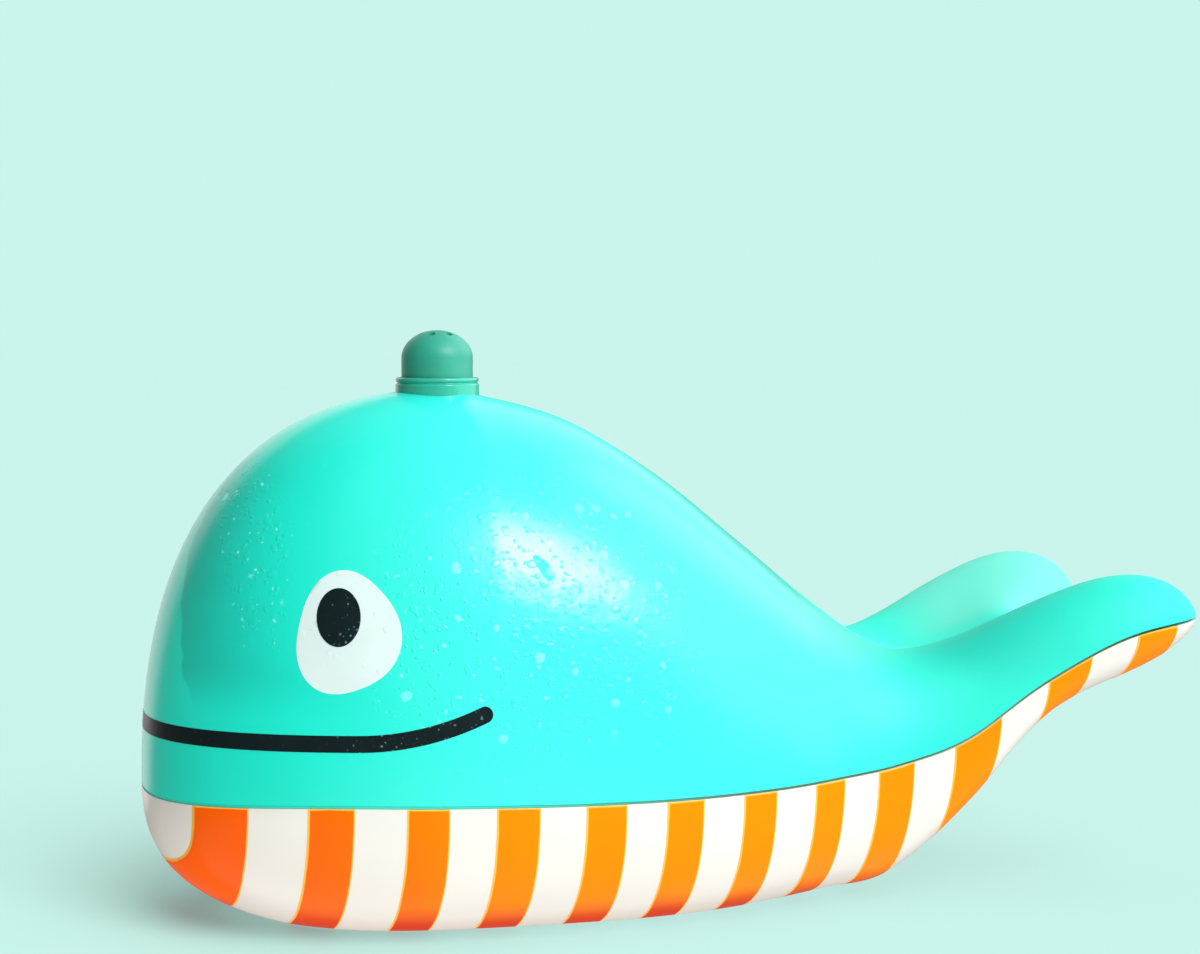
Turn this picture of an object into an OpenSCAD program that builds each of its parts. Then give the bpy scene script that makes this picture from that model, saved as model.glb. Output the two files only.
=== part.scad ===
// Whale bath toy with a press-button foam pump and a squeaker.
// The nose points to -X, the flukes to +X, the blowhole up. The floor is z = 0.

/* [Hull] */
// Overall length, from the nose to the fluke tips
body_l = 198; // [180:1:225]
// Height of the crown above the floor, without the button
body_h = 97; // [92:1:108]
// Width of the body at its widest
body_w = 82; // [76:1:96]
// How far the fluke tips reach back past the notch between them
fluke_sweep = 24; // [16:1:30]
// Wall thickness of the two shells
wall = 2.2; // [1.8:0.1:2.6]
// Open line between the two shells
seam_gap = 0.5; // [0.4:0.1:0.8]
// How far the gasket lies back from the outside of that line
gasket_recess = 0.6; // [0.4:0.1:0.8]
// Width of the gasket band
gasket_w = 1.1; // [0.8:0.1:1.2]

/* [Face] */
// Width of the white of an eye
eye_w = 17; // [14:0.2:21]
// Height of the white of an eye
eye_h = 21; // [16:0.2:25]
// Height of the eye's centre above the floor
eye_z = 55.7; // [52:0.1:60]
// Width of a pupil
pupil_w = 7.2; // [5:0.2:9]
// Height of a pupil
pupil_h = 10; // [7:0.2:12]
// Height of the mouth line above the floor
mouth_z = 37; // [34:0.5:40]
// How far the corners of the mouth turn up
mouth_rise = 5.3; // [2:0.1:7]
// Thickness of the mouth line
mouth_t = 2.9; // [1.5:0.1:4]
// Thickness of a printed skin
print_t = 0.25; // [0.2:0.05:0.4]

/* [Blowhole] */
// Diameter of the collar ring round the button
collar_d = 15.6; // [15:0.2:17]
// How far the collar stands above the crown
collar_proud = 2.2; // [1.5:0.1:3]
// Diameter of the domed button
button_d = 13.3; // [12.5:0.1:13.8]
// How far the button stands above the crown at rest
button_proud = 11; // [10:0.5:13]
// How far the button is pressed
press_travel = 7; // [5:0.5:8]
// Height of the rounded end of the button
dome_rise = 5.2; // [3:0.1:6.4]
// Diameter of a foam hole in the button
spout_d = 1.3; // [0.8:0.1:1.8]
// Number of foam holes round the middle one
spout_count = 6; // [4:1:8]

/* [Pump] */
// Bore of the air chamber
chamber_d = 22; // [21:0.5:24]
// Length of the air chamber
chamber_l = 24.5; // [23:0.5:28]
// Bore of the liquid barrel
barrel_d = 10; // [9:0.2:11]
// Length of the liquid barrel
barrel_l = 22; // [21:0.5:26]
// Wall of the pump body
pump_wall = 1.6; // [1.2:0.1:2]
// Diameter of the hollow stem
stem_d = 7; // [6.4:0.1:7.4]
// Bore of the hollow stem
stem_bore = 4; // [3:0.1:4.6]
// Height of the air piston
piston_h = 5; // [4:0.1:6]
// Height of the liquid piston
plunger_h = 4.5; // [3.5:0.1:5]
// Wire of the return spring
wire_d = 1; // [0.8:0.1:1.2]
// Mean diameter of the return spring
spring_d = 16.4; // [14:0.2:18]
// Turns of the return spring
spring_turns = 4.5; // [3:0.5:5]
// Diameter of the inlet ball
ball_d = 6; // [5:0.1:6.6]
// Bore of the inlet under the ball
inlet_d = 4; // [3:0.1:4.6]
// Lift of the inlet ball
ball_lift = 1.2; // [0.8:0.1:1.6]
// Outer diameter of the dip tube
tube_d = 5; // [4:0.1:5.4]
// Bore of the dip tube
tube_bore = 3.2; // [2:0.1:3.4]

/* [Deck] */
// Depth of the pump's deck below the crown
deck_drop = 13; // [12:0.2:14]
// Rim of the deck outside the screw heads
deck_rim = 0.5; // [0.3:0.1:1.2]
// Thickness of the deck cap
cap_t = 3.5; // [3:0.1:4]
// Thickness of the flange of the pump body
flange_t = 2.5; // [2:0.1:3]
// Thickness of the collar's own flange
collar_flange_t = 1.6; // [1.2:0.1:2]
// Width of the collar's own flange
collar_flange_w = 2.8; // [2:0.1:3.2]
// Width of the deck seal
seal_w = 1.2; // [0.8:0.1:1.4]
// Thickness of the deck seal
seal_t = 1; // [0.8:0.1:1.2]

/* [Squeaker] */
// Outer diameter of the squeaker housing
squeaker_d = 12; // [11.6:0.2:13]
// Length of the squeaker housing
squeaker_l = 19; // [17:0.5:24]
// Outer diameter of the port that it sits on
port_d = 9; // [8:0.1:9.4]
// Bore of the port
port_bore = 4.4; // [3:0.1:5]
// Length of the port
port_l = 6; // [5:0.5:8]
// Thickness of the reed
reed_t = 0.3; // [0.2:0.05:0.4]

/* [Belly] */
// Diameter of the filler plug's stem
plug_d = 14; // [12:0.2:16]
// Length of the filler plug's stem
plug_l = 5; // [4:0.2:6]
// Diameter of the filler plug's head
plug_head_d = 19; // [18:0.2:21]
// Thickness of the filler plug's head
plug_head_t = 1.6; // [1.2:0.1:2]
// Length of the keel weight
weight_l = 36; // [28:1:39]
// Width of the keel weight
weight_w = 16; // [12:0.5:18]
// Height of the keel weight
weight_h = 6; // [4:0.5:8]

/* [Fasteners] */
// Shank diameter of a hull screw
hull_screw_d = 3; // [2.6:0.1:3.5]
// Shank length of a hull screw
hull_screw_l = 20; // [18:0.5:24]
// Shank diameter of a deck screw
deck_screw_d = 2.2; // [2:0.1:2.4]
// Shank length of a deck screw
deck_screw_l = 10; // [9:0.2:10.5]

/* [Hidden] */

// Curve quality of round parts
$fn = 48;
// Overrun of every cut past the face that it opens
cut = 1;
// Clearance between parts that are fixed together
fixed_gap = 0.05;
// Radial clearance of a running fit
running_gap = 0.05;
// Clearance round the button, which stands free in its collar
button_gap = 0.3;
// Lift of the printed skins off the true surface, which clears the facets
print_lift = 0.12;
// Lift of the stripes, which cross the hollow of the tail
stripe_lift = 0.3;
// Height above the floor at which the stripes stop, short of the rest face
stripe_stop = 1;

// Plan and side tables of the hull. Each row is a station along the body, as a share of
// the run from the nose to the notch, and a share of the height or half width there.
back_shares = [
    [0.335, 1], [0.45, 0.943], [0.55, 0.838], [0.64, 0.71], [0.73, 0.577],
    [0.8, 0.487], [0.86, 0.458], [0.92, 0.483], [1, 0.55]
];
seam_shares = [
    [0, 0.256], [0.15, 0.268], [0.3, 0.265], [0.45, 0.259], [0.6, 0.26], [0.7, 0.269],
    [0.78, 0.287], [0.84, 0.33], [0.9, 0.438], [0.95, 0.52], [1, 0.548]
];
keel_shares = [
    [0.28, -0.031], [0.55, -0.031], [0.74, 0.004], [0.8, 0.024], [0.86, 0.137],
    [0.92, 0.318], [1, 0.41]
];
beam_shares = [
    [0.4, 1], [0.52, 0.976], [0.64, 0.89], [0.74, 0.79], [0.82, 0.755], [0.9, 0.805],
    [0.96, 0.89], [1, 0.93]
];
lobe_shares = [[0.7, 0], [0.78, 0.02], [0.86, 0.075], [0.93, 0.096], [1, 0.092]];
dip_shares = [[0.74, 0], [0.84, 0.02], [0.92, 0.06], [1, 0.075]];
sweep_shares = [[0.74, 0], [0.8, 0.05], [0.9, 0.34], [1, 1]];
// Station shares where the bow, the crown and the beam reach their full size
bow_share = 0.28;
crown_share = 0.335;
wide_share = 0.4;
// Station shares where the flukes begin to round off in height and in plan
round_share = 0.93;
tip_share = 0.9;
// Part of the half width that the rounding of the tips takes off
tip_cut_share = 0.34;
// Station share where the belly leaves the curve of the bow, and the shares between which
// it takes on the curve of the tail
bow_blend_share = 0.32;
belly_blend_shares = [0.55, 0.82];
// Powers of the rounded curves. Those of the back and belly are sideways and in height.
bow_power = 2.4;
crown_power = 2.43;
wide_power = 2.3;
round_power = 3;
tip_power = 2.4;
back_powers = [0.95, 0.92];
bow_powers = [1.03, 1.27];
belly_powers = [0.8, 0.93];
tail_powers = [0.73, 1.03];
// Walls that the inner surface stays back from the trailing edge
tail_inset_share = 2;
// Cells of the hull grid along and across
grid_n = 36;
grid_m = 24;

// Start and width of each stripe, as shares of the overall length from the nose
stripe_shares = [
    [0.032, 0.044], [0.124, 0.039], [0.207, 0.037], [0.285, 0.039], [0.366, 0.038],
    [0.442, 0.036], [0.518, 0.034], [0.593, 0.032], [0.661, 0.038], [0.74, 0.046],
    [0.831, 0.042], [0.919, 0.045]
];

// Places along the body, as shares of the overall length from the nose
blowhole_share = 0.278;
eye_share = 0.1605;
pupil_share = 0.1537;
mouth_end_share = 0.274;
mouth_turn_share = 0.167;
plug_share = 0.58;
weight_share = 0.405;
front_screw_share = 0.188;
rear_screw_share = 0.615;
// Sideways places of the hull screws, as a share of the half width
screw_side_share = 0.34;
// Lean of the eye and of the pupil, in degrees from upright towards the tail
eye_lean = 15;
pupil_lean = 8;
// Share by which the white of an eye swells at three sides into an egg
eye_egg_share = 0.063;
// Height of a pupil above the centre of its eye, as a share of the eye's height
pupil_rise_share = 0.136;
// Cells along the mouth line, and the shares of it that round off its ends
mouth_steps = 44;
mouth_round_share = 0.04;
mouth_blunt_share = 0.3;
// How far a stripe stays clear of the trailing edge, and its angle short of the seam
stripe_edge = 1;
stripe_tuck = 0.03;
// Places of the foam holes, as a share of the button's diameter
spout_ring_share = 0.24;
// Share of the spring's rise that its end turns give up
end_coil_share = 0.3;

half_w = body_w / 2;
nose_x = -body_l / 2;
hull_run = body_l - fluke_sweep;
function place_x(share) = nose_x + share * body_l;
blowhole_x = place_x(blowhole_share);

// Smooth curve through a table of shares
function knot(t, s, i = 0) = i >= len(t) - 2 || s < t[i + 1][0] ? i : knot(t, s, i + 1);
function slope(t, i) =
    let (a = max(i - 1, 0), b = min(i + 1, len(t) - 1))
    (t[b][1] - t[a][1]) / (t[b][0] - t[a][0]);
function along(t, s) =
    let (i = knot(t, s), h = t[i + 1][0] - t[i][0], u = unit((s - t[i][0]) / h))
    (2 * u ^ 3 - 3 * u ^ 2 + 1) * t[i][1] + (u ^ 3 - 2 * u ^ 2 + u) * h * slope(t, i)
    + (3 * u ^ 2 - 2 * u ^ 3) * t[i + 1][1] + (u ^ 3 - u ^ 2) * h * slope(t, i + 1);
function unit(t) = max(0, min(1, t));
function swell(t, p) = (1 - (1 - unit(t)) ^ p) ^ (1 / p);
function fade(t, p) = max(0, 1 - unit(t) ^ p) ^ (1 / p);
function ease(t) = let (u = unit(t)) u * u * (3 - 2 * u);

// Section of the hull at share s, set in by an inset from the outside:
// [x, seam height, dip of the seam at the middle, crown height, keel height, half width,
// fluke lobe, sweep, side power, height power and least height of the belly]
function section(s, inset) =
    let (
        x = nose_x + inset + (hull_run - (1 + tail_inset_share) * inset) * s,
        q = (x - nose_x) / hull_run,
        seam = body_h * along(seam_shares, q),
        dip = body_h * along(dip_shares, q),
        mid = seam - dip,
        end = fade((s - round_share) / (1 - round_share), round_power),
        top = max(0, body_h * along(back_shares, q) - inset - mid),
        low = max(0, mid - body_h * along(keel_shares, q) - inset),
        tip = 1 - tip_cut_share * (1 - fade((s - tip_share) / (1 - tip_share), tip_power))
    )
    [
        x, seam, dip,
        top * swell(s / crown_share, crown_power) * end,
        low * swell(s / bow_share, bow_power) * end,
        (half_w * along(beam_shares, q) - inset) * swell(s / wide_share, wide_power) * tip,
        body_h * along(lobe_shares, q) * end,
        fluke_sweep * along(sweep_shares, q),
        belly_power(q, 0),
        belly_power(q, 1),
        inset > 0 ? inset : -body_h
    ];
// Power of the belly's curve at share q of the run, 0 sideways and 1 in height
function belly_power(q, k) =
    let (
        tail = ease((q - belly_blend_shares[0]) / (belly_blend_shares[1] - belly_blend_shares[0])),
        bow = 1 - ease(q / bow_blend_share)
    )
    belly_powers[k] + (tail_powers[k] - belly_powers[k]) * tail
        + (bow_powers[k] - belly_powers[k]) * bow;
// Height of the parting sheet at angle a across the section c
function sheet_z(c, a) = c[1] - c[2] * cos(a) ^ 2;
// Point of the back at angle a, -90 at the near seam to 90 at the far one
function back_at(c, a, lift) =
    let (r = abs(sin(a)) ^ back_powers[0])
    [
        c[0] + c[7] * ease(r),
        c[5] * r * sign(a),
        sheet_z(c, a) + lift + max(0, c[3] - lift) * abs(cos(a)) ^ back_powers[1]
            + c[6] * sin(2 * a) ^ 2
    ];
// Point of the belly at angle a
function belly_at(c, a, lift) =
    let (r = abs(sin(a)) ^ c[8])
    [
        c[0] + c[7] * ease(r),
        c[5] * r * sign(a),
        max(c[10], sheet_z(c, a) - lift - max(0, c[4] - lift) * abs(cos(a)) ^ c[9])
    ];
// Station and angle of a grid line
function station(i) = (1 - cos(180 * i / grid_n)) / 2;
function lateral(j) = 180 * j / grid_m - 90;
hull_sections = [for (i = [0 : grid_n]) section(station(i), 0)];
liner_sections = [for (i = [0 : grid_n]) section(station(i), wall)];
core_sections = [for (i = [0 : grid_n]) section(station(i), wall / 2)];

// Height of the inside and of the middle of the wall of the belly at x, on the midline
function floor_z(x, inset) =
    let (c = section((x - nose_x - inset) / (hull_run - (1 + tail_inset_share) * inset), inset))
    max(c[10], c[1] - c[2] - c[4]);
// Height of the crown at x, on the midline
function crown_z(x) = let (c = section((x - nose_x) / hull_run, 0)) c[1] - c[2] + c[3];

// Point of the back at a place of the side view, on one side, lifted off the surface
function face_at(x, z, side, lift) =
    let (
        c = section((x - nose_x + lift) / (hull_run + (1 + tail_inset_share) * lift), -lift),
        q = unit((z - c[1]) / c[3]),
        r = sin(acos(q ^ (1 / back_powers[1]))) ^ back_powers[0]
    )
    [x, side * c[5] * r, z];

// Closed solid between two grids of points. With a pole, row 0 is one point. With
// closed, the last column joins the first.
module between(n, m, outer, inner, pole = false, closed = false, flip = false) {
    width = closed ? m : m + 1;
    cols = [0 : width - 1];
    first = pole ? 1 : 0;
    a = concat(pole ? [outer(0, 0)] : [], [for (i = [first : n], j = cols) outer(i, j)]);
    b = concat(pole ? [inner(0, 0)] : [], [for (i = [first : n], j = cols) inner(i, j)]);
    id = function (i, j)
        pole && i == 0 ? 0 : first + (i - first) * width + (closed ? j % m : j);
    w = len(a);
    quads = concat(
        [for (i = [0 : n - 1], j = [0 : m - 1])
            [id(i, j), id(i, j + 1), id(i + 1, j + 1), id(i + 1, j)]],
        [for (i = [0 : n - 1], j = [0 : m - 1])
            [w + id(i, j), w + id(i + 1, j), w + id(i + 1, j + 1), w + id(i, j + 1)]],
        [for (j = [0 : m - 1]) [id(n, j), id(n, j + 1), w + id(n, j + 1), w + id(n, j)]],
        pole ? [] : [for (j = [0 : m - 1]) [id(0, j + 1), id(0, j), w + id(0, j), w + id(0, j + 1)]],
        closed ? [] : [for (i = [0 : n - 1]) [id(i, 0), id(i + 1, 0), w + id(i + 1, 0), w + id(i, 0)]],
        closed ? [] : [for (i = [0 : n - 1]) [id(i + 1, m), id(i, m), w + id(i, m), w + id(i + 1, m)]]
    );
    tris = [for (q = quads) each [[q[0], q[1], q[2]], [q[0], q[2], q[3]]]];
    sound = [for (t = tris) if (t[0] != t[1] && t[1] != t[2] && t[0] != t[2]) t];
    polyhedron(concat(a, b), flip ? [for (t = sound) [t[0], t[2], t[1]]] : sound);
}

// Half of the hull between two sets of sections
module back_shell(outside, inside, lift, drop = 0) {
    between(grid_n, grid_m,
        function (i, j) back_at(outside[i], lateral(j), lift),
        function (i, j) drop == 0
            ? back_at(inside[i], lateral(j), lift)
            : let (p = back_at(inside[i], lateral(j), lift))
                [p[0], p[1], sheet_z(inside[i], lateral(j)) - drop],
        pole = true);
}
module belly_shell(outside, inside, lift, drop = 0) {
    between(grid_n, grid_m,
        function (i, j) belly_at(outside[i], lateral(j), lift),
        function (i, j) drop == 0
            ? belly_at(inside[i], lateral(j), lift)
            : let (p = belly_at(inside[i], lateral(j), lift))
                [p[0], p[1], sheet_z(inside[i], lateral(j)) + drop],
        pole = true, flip = true);
}

module tube(outer, inner, h) {
    difference() {
        cylinder(d = outer, h = h);
        translate([0, 0, -cut]) cylinder(d = inner, h = h + 2 * cut);
    }
}

// Height stack of the pump, from the crown down
top_z = crown_z(blowhole_x);
deck_z = top_z - deck_drop;
cap_z = deck_z - cap_t;
flange_z = cap_z - flange_t;
chamber_z = cap_z - chamber_l;
barrel_z = chamber_z - pump_wall - barrel_l;
button_top = top_z + button_proud;
collar_top = top_z + collar_proud;
collar_bore = button_d + 2 * button_gap;
collar_flange_d = collar_d + 2 * collar_flange_w;

// Button, cartridge and stem
button_wall = 1.4;
button_tip = 3;
button_foot = deck_z + collar_flange_t;
cartridge_d = button_d - 2 * button_wall;
cartridge_wall = 1.1;
cartridge_foot = button_foot + button_wall;
cartridge_head = button_top - dome_rise;
socket_l = 5;
ledge_w = 0.5;
screen_t = 0.5;
screen_gap = 3.5;
screen_d = cartridge_d - 2 * cartridge_wall;
screen_low = cartridge_foot + socket_l + button_wall;
stem_top = cartridge_foot + socket_l;
stem_shoulder = 0.4;
piston_z = cap_z - piston_h - stem_shoulder;
cage_t = 2;
seat_depth = (barrel_d - inlet_d) / 2;
ball_seat_z = barrel_z + ball_d * sin(45) - inlet_d / 2;
ball_z = ball_seat_z + fixed_gap;
cage_hole = ball_d * 0.6;
cage_z = ball_z + ball_lift + sqrt((ball_d / 2) ^ 2 - (cage_hole / 2) ^ 2) + 2 * fixed_gap;
plunger_gap = 1.5;
plunger_z = cage_z + cage_t + press_travel + plunger_gap;
spring_floor = chamber_z;
spring_top = piston_z;

// Deck
deck_head_gap = 0.4;
deck_screw_head_d = 4.2;
deck_screw_head_t = 1.6;
deck_ring_d = chamber_d + 2 * pump_wall + deck_screw_head_d + 2 * deck_head_gap;
deck_d = deck_ring_d + deck_screw_head_d + 2 * deck_rim;
deck_screw_bite = deck_screw_l - cap_t - flange_t;
seal_land = 0.8;
seal_mid_d = collar_flange_d + 2 * seal_land + seal_w;

// Socket of the dip tube
socket_wall = 2;
socket_deep = 6;
socket_floor = 2;

// Dip tube ends above the floor of the hull by this much
tube_stand = 2.2;

// Squeaker
port_rise = 1;
port_z = chamber_z + port_d / 2 + port_rise;
port_reach = chamber_d / 2 + pump_wall + port_l;
squeaker_wall = 1.4;
seat_t = 1.4;
squeaker_gap = 1;
squeaker_start = port_reach - port_l + squeaker_gap;
seat_x = port_reach + fixed_gap;
squeaker_bore = squeaker_d - 2 * squeaker_wall - ledge_w;
cap_lip = 1.4;

// Belly fittings
plug_x = place_x(plug_share);
plug_recess = 0.3;
plug_seat_z = plug_head_t + plug_l;
notch_d = plug_head_d / 3;
notch_top = plug_recess + plug_head_t;
weight_x = place_x(weight_share);
weight_pad = 1;
weight_z = wall + weight_pad;
rib_t = 1.6;
rib_h = 4;
weight_gap = 0.1;
weight_round = 2;

// Hull screws
screw_head_d = 1.9 * hull_screw_d;
screw_head_t = 0.75 * hull_screw_d;
tower_wall = 1.7;
screw_tower_d = screw_head_d + 2 * tower_wall;
screw_boss_d = 2.6 * hull_screw_d;
screw_bite = 9;
screw_xs = [place_x(front_screw_share), place_x(rear_screw_share)];
function seam_z(x) = section((x - nose_x) / hull_run, 0)[1];
screw_drop = hull_screw_l - screw_bite;

// Places of the hull screws, by a height above the seam there
module at_hull_screws(rise) {
    for (x = screw_xs, side = [-1, 1])
        translate([x, side * screw_side_share * half_w, seam_z(x) + rise]) children();
}
module at_blowhole() {
    translate([blowhole_x, 0, 0]) children();
}
module at_deck_screws() {
    for (k = [0 : 2])
        rotate([0, 0, 120 * k + 60]) translate([deck_ring_d / 2, 0, 0]) children();
}

module upper_shell() {
    color("turquoise")
    difference() {
        union() {
            back_shell(hull_sections, liner_sections, seam_gap / 2);
            intersection() {
                back_shell(core_sections, core_sections, seam_gap / 2, drop = cut);
                union() {
                    at_blowhole() translate([0, 0, deck_z]) cylinder(d = deck_d, h = deck_drop);
                    at_hull_screws(seam_gap / 2) cylinder(d = screw_boss_d, h = body_h);
                }
            }
        }
        at_blowhole() {
            translate([0, 0, deck_z - cut])
                cylinder(d = collar_d + 2 * fixed_gap, h = deck_drop + 2 * cut);
            translate([0, 0, deck_z - cut])
                cylinder(d = collar_flange_d + 2 * fixed_gap, h = collar_flange_t + cut);
            translate([0, 0, deck_z - cut]) at_deck_screws()
                cylinder(d = deck_screw_d + 2 * fixed_gap, h = deck_screw_bite + 2 * cut);
        }
        at_hull_screws(-cut) cylinder(d = hull_screw_d + 2 * fixed_gap, h = screw_bite + 2 * cut);
    }
}

module lower_shell() {
    color("ivory")
    difference() {
        union() {
            belly_shell(hull_sections, liner_sections, seam_gap / 2);
            intersection() {
                belly_shell(core_sections, core_sections, seam_gap / 2, drop = cut);
                union() {
                    at_hull_screws(seam_gap / 2 - fixed_gap) mirror([0, 0, 1])
                        cylinder(d = screw_tower_d, h = body_h);
                    translate([plug_x, 0, 0])
                        cylinder(d = plug_head_d + 2 * wall, h = plug_seat_z);
                    at_notch() cylinder(d = notch_d + 2 * wall, h = notch_top + wall);
                    weight_pocket();
                }
            }
        }
        translate([nose_x, -half_w, -body_h]) cube([body_l, body_w, body_h]);
        translate([plug_x, 0, -cut])
            cylinder(d = plug_d + 2 * running_gap, h = plug_seat_z + 2 * cut);
        translate([plug_x, 0, -cut])
            cylinder(d = plug_head_d + 2 * button_gap, h = plug_recess + plug_head_t + cut);
        at_notch() translate([0, 0, -cut]) cylinder(d = notch_d, h = notch_top + cut);
        at_hull_screws(-screw_drop - cut) cylinder(d = hull_screw_d + 4 * fixed_gap, h = body_h);
        at_hull_screws(-screw_drop) mirror([0, 0, 1])
            cylinder(d = screw_head_d + 4 * fixed_gap, h = body_h);
    }
}
// Place of the notch for a fingernail, at the rim of the plug
module at_notch() {
    translate([plug_x + plug_head_d / 2, 0, 0]) children();
}
module weight_pocket() {
    translate([weight_x - weight_l / 2 - rib_t, -weight_w / 2 - rib_t, 0])
    difference() {
        cube([weight_l + 2 * rib_t, weight_w + 2 * rib_t, weight_z + rib_h]);
        translate([rib_t - weight_gap, rib_t - weight_gap, weight_z])
            cube([weight_l + 2 * weight_gap, weight_w + 2 * weight_gap, rib_h + cut]);
    }
}

// Loop of points round the rims of the shells, set in from the outside: near side, far
// side, trailing edge. Every second point lies where the rim's facets change.
function seam_loop(inset) =
    let (
        share = inset / wall,
        rim = function (c, a) let (p = back_at(c, a, 0)) [p[0], p[1], sheet_z(c, a)],
        mix = function (i, a, k, b)
            rim(hull_sections[i], a) * (1 - share) + rim(liner_sections[k], b) * share
    )
    concat(
        [for (i = [grid_n : -1 : 1]) each [mix(i, -90, i, -90), mix(i - 1, -90, i, -90)]],
        [for (i = [0 : grid_n - 1]) each [mix(i, 90, i, 90), mix(i + 1, 90, i, 90)]],
        [for (j = [grid_m : -1 : 1]) each [
            mix(grid_n, lateral(j), grid_n, lateral(j)),
            mix(grid_n, lateral(j - 1), grid_n, lateral(j))
        ]]
    );
module seam_gasket() {
    outer = seam_loop(gasket_recess);
    inner = seam_loop(gasket_recess + gasket_w);
    half = seam_gap / 2 - fixed_gap;
    n = len(outer);
    color("saddlebrown")
    between_rings(n, [outer, outer, inner, inner], [-half, half, half, -half]);
}
// Closed ring swept through four loops of n points, each shifted in height
module between_rings(n, loops, shifts) {
    m = len(loops);
    pts = [for (i = [0 : n - 1], k = [0 : m - 1]) loops[k][i] + [0, 0, shifts[k]]];
    id = function (i, k) (i % n) * m + k % m;
    polyhedron(pts, [for (i = [0 : n - 1], k = [0 : m - 1]) each [
        [id(i, k), id(i + 1, k), id(i + 1, k + 1)],
        [id(i, k), id(i + 1, k + 1), id(i, k + 1)]
    ]]);
}

// Oval skin on the side of the face, by its centre, width, height, lean and egg share
module oval_skin(x, z, w, h, lean, egg_share, side, lift) {
    rings = 4;
    spokes = 28;
    at = function (i, j, up)
        let (
            t = 360 * j / spokes,
            m = (1 + egg_share * cos(3 * t)) * i / rings,
            u = w / 2 * cos(t) * m,
            v = h / 2 * sin(t) * m
        )
        face_at(x + u * cos(lean) + v * sin(lean), z - u * sin(lean) + v * cos(lean), side, up);
    between(rings, spokes,
        function (i, j) at(i, j, lift + print_t),
        function (i, j) at(i, j, lift),
        pole = true, closed = true, flip = side > 0);
}
module eye_whites() {
    color("white")
    for (side = [-1, 1])
        oval_skin(place_x(eye_share), eye_z, eye_w, eye_h, eye_lean, eye_egg_share, side,
            print_lift);
}
module eye_pupils() {
    color("black")
    for (side = [-1, 1])
        oval_skin(place_x(pupil_share), eye_z + pupil_rise_share * eye_h, pupil_w, pupil_h,
            pupil_lean, 0, side, 2 * print_lift + print_t);
}

// Mouth line round the nose, as one band from cheek to cheek
function mouth_front(z) =
    let (
        c = section(0, 0),
        q = unit((z - c[1]) / (body_h - c[1]))
    )
    nose_x + hull_run * crown_share * (1 - (1 - q ^ crown_power) ^ (1 / crown_power));
function mouth_at(i, j, lift) =
    let (
        t = 2 * j / mouth_steps - 1,
        x_end = place_x(mouth_end_share),
        x_turn = place_x(mouth_turn_share),
        body = fade((abs(t) - 1 + mouth_round_share) / mouth_round_share, 2),
        front = mouth_front(mouth_z),
        x_mid = front + (x_end - front) * t ^ 2,
        bend = max(0, (x_mid - x_turn) / (x_end - x_turn)),
        z = mouth_z + mouth_rise * bend ^ 2 + (i - 1) * mouth_t / 2 * max(body, mouth_blunt_share),
        x = mouth_front(z) + (x_end - mouth_front(z)) * t ^ 2
    )
    j * 2 == mouth_steps ? [x - lift, 0, z] : face_at(x - lift, z, sign(t), lift);
module mouth_line() {
    color("black")
    between(2, mouth_steps,
        function (i, j) mouth_at(i, j, print_lift + print_t),
        function (i, j) mouth_at(i, j, print_lift));
}

// Sections of the inner and outer face of a stripe
stripe_low = [for (i = [0 : grid_n]) section(station(i), -stripe_lift)];
stripe_high = [for (i = [0 : grid_n]) section(station(i), -stripe_lift - print_t)];
// Point at x on the grid line of angle a, straight between two stations as on the shell
function stripe_at(rows, x, a, i = 0) =
    let (p = belly_at(rows[i], a, 0), q = belly_at(rows[i + 1], a, 0))
    q[0] < x && i < grid_n - 1
        ? stripe_at(rows, x, a, i + 1)
        : p + (q - p) * unit((x - p[0]) / (q[0] - p[0]));
function stripe_open(x, j) =
    x < belly_at(hull_sections[grid_n], lateral(j), 0)[0] - stripe_edge
    && stripe_at(hull_sections, x, lateral(j))[2] > stripe_stop;
function stripe_last(x0, x1, j = 1) =
    j < grid_m && stripe_open(x0, j + 1) && stripe_open(x1, j + 1)
        ? stripe_last(x0, x1, j + 1) : j;
module stripe_patch(x0, x1, j0, j1) {
    cells = 4;
    turn = function (j) j == 0
        ? lateral(0) + stripe_tuck : j == grid_m ? lateral(grid_m) - stripe_tuck : lateral(j);
    between(cells, j1 - j0,
        function (i, j) stripe_at(stripe_high, x0 + (x1 - x0) * i / cells, turn(j0 + j)),
        function (i, j) stripe_at(stripe_low, x0 + (x1 - x0) * i / cells, turn(j0 + j)),
        flip = true);
}
module belly_stripes() {
    color("darkorange")
    for (s = stripe_shares) {
        x0 = place_x(s[0]);
        x1 = place_x(s[0] + s[1]);
        last = stripe_last(x0, x1);
        if (last >= grid_m) {
            stripe_patch(x0, x1, 0, grid_m);
        } else {
            stripe_patch(x0, x1, 0, last);
            stripe_patch(x0, x1, grid_m - last, grid_m);
        }
    }
}

module blowhole_collar() {
    color("mediumturquoise")
    at_blowhole() difference() {
        union() {
            translate([0, 0, deck_z]) cylinder(d = collar_d, h = collar_top - deck_z);
            translate([0, 0, deck_z]) cylinder(d = collar_flange_d, h = collar_flange_t);
        }
        translate([0, 0, deck_z - cut])
            cylinder(d = collar_bore, h = collar_top - deck_z + 2 * cut);
    }
}

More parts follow.
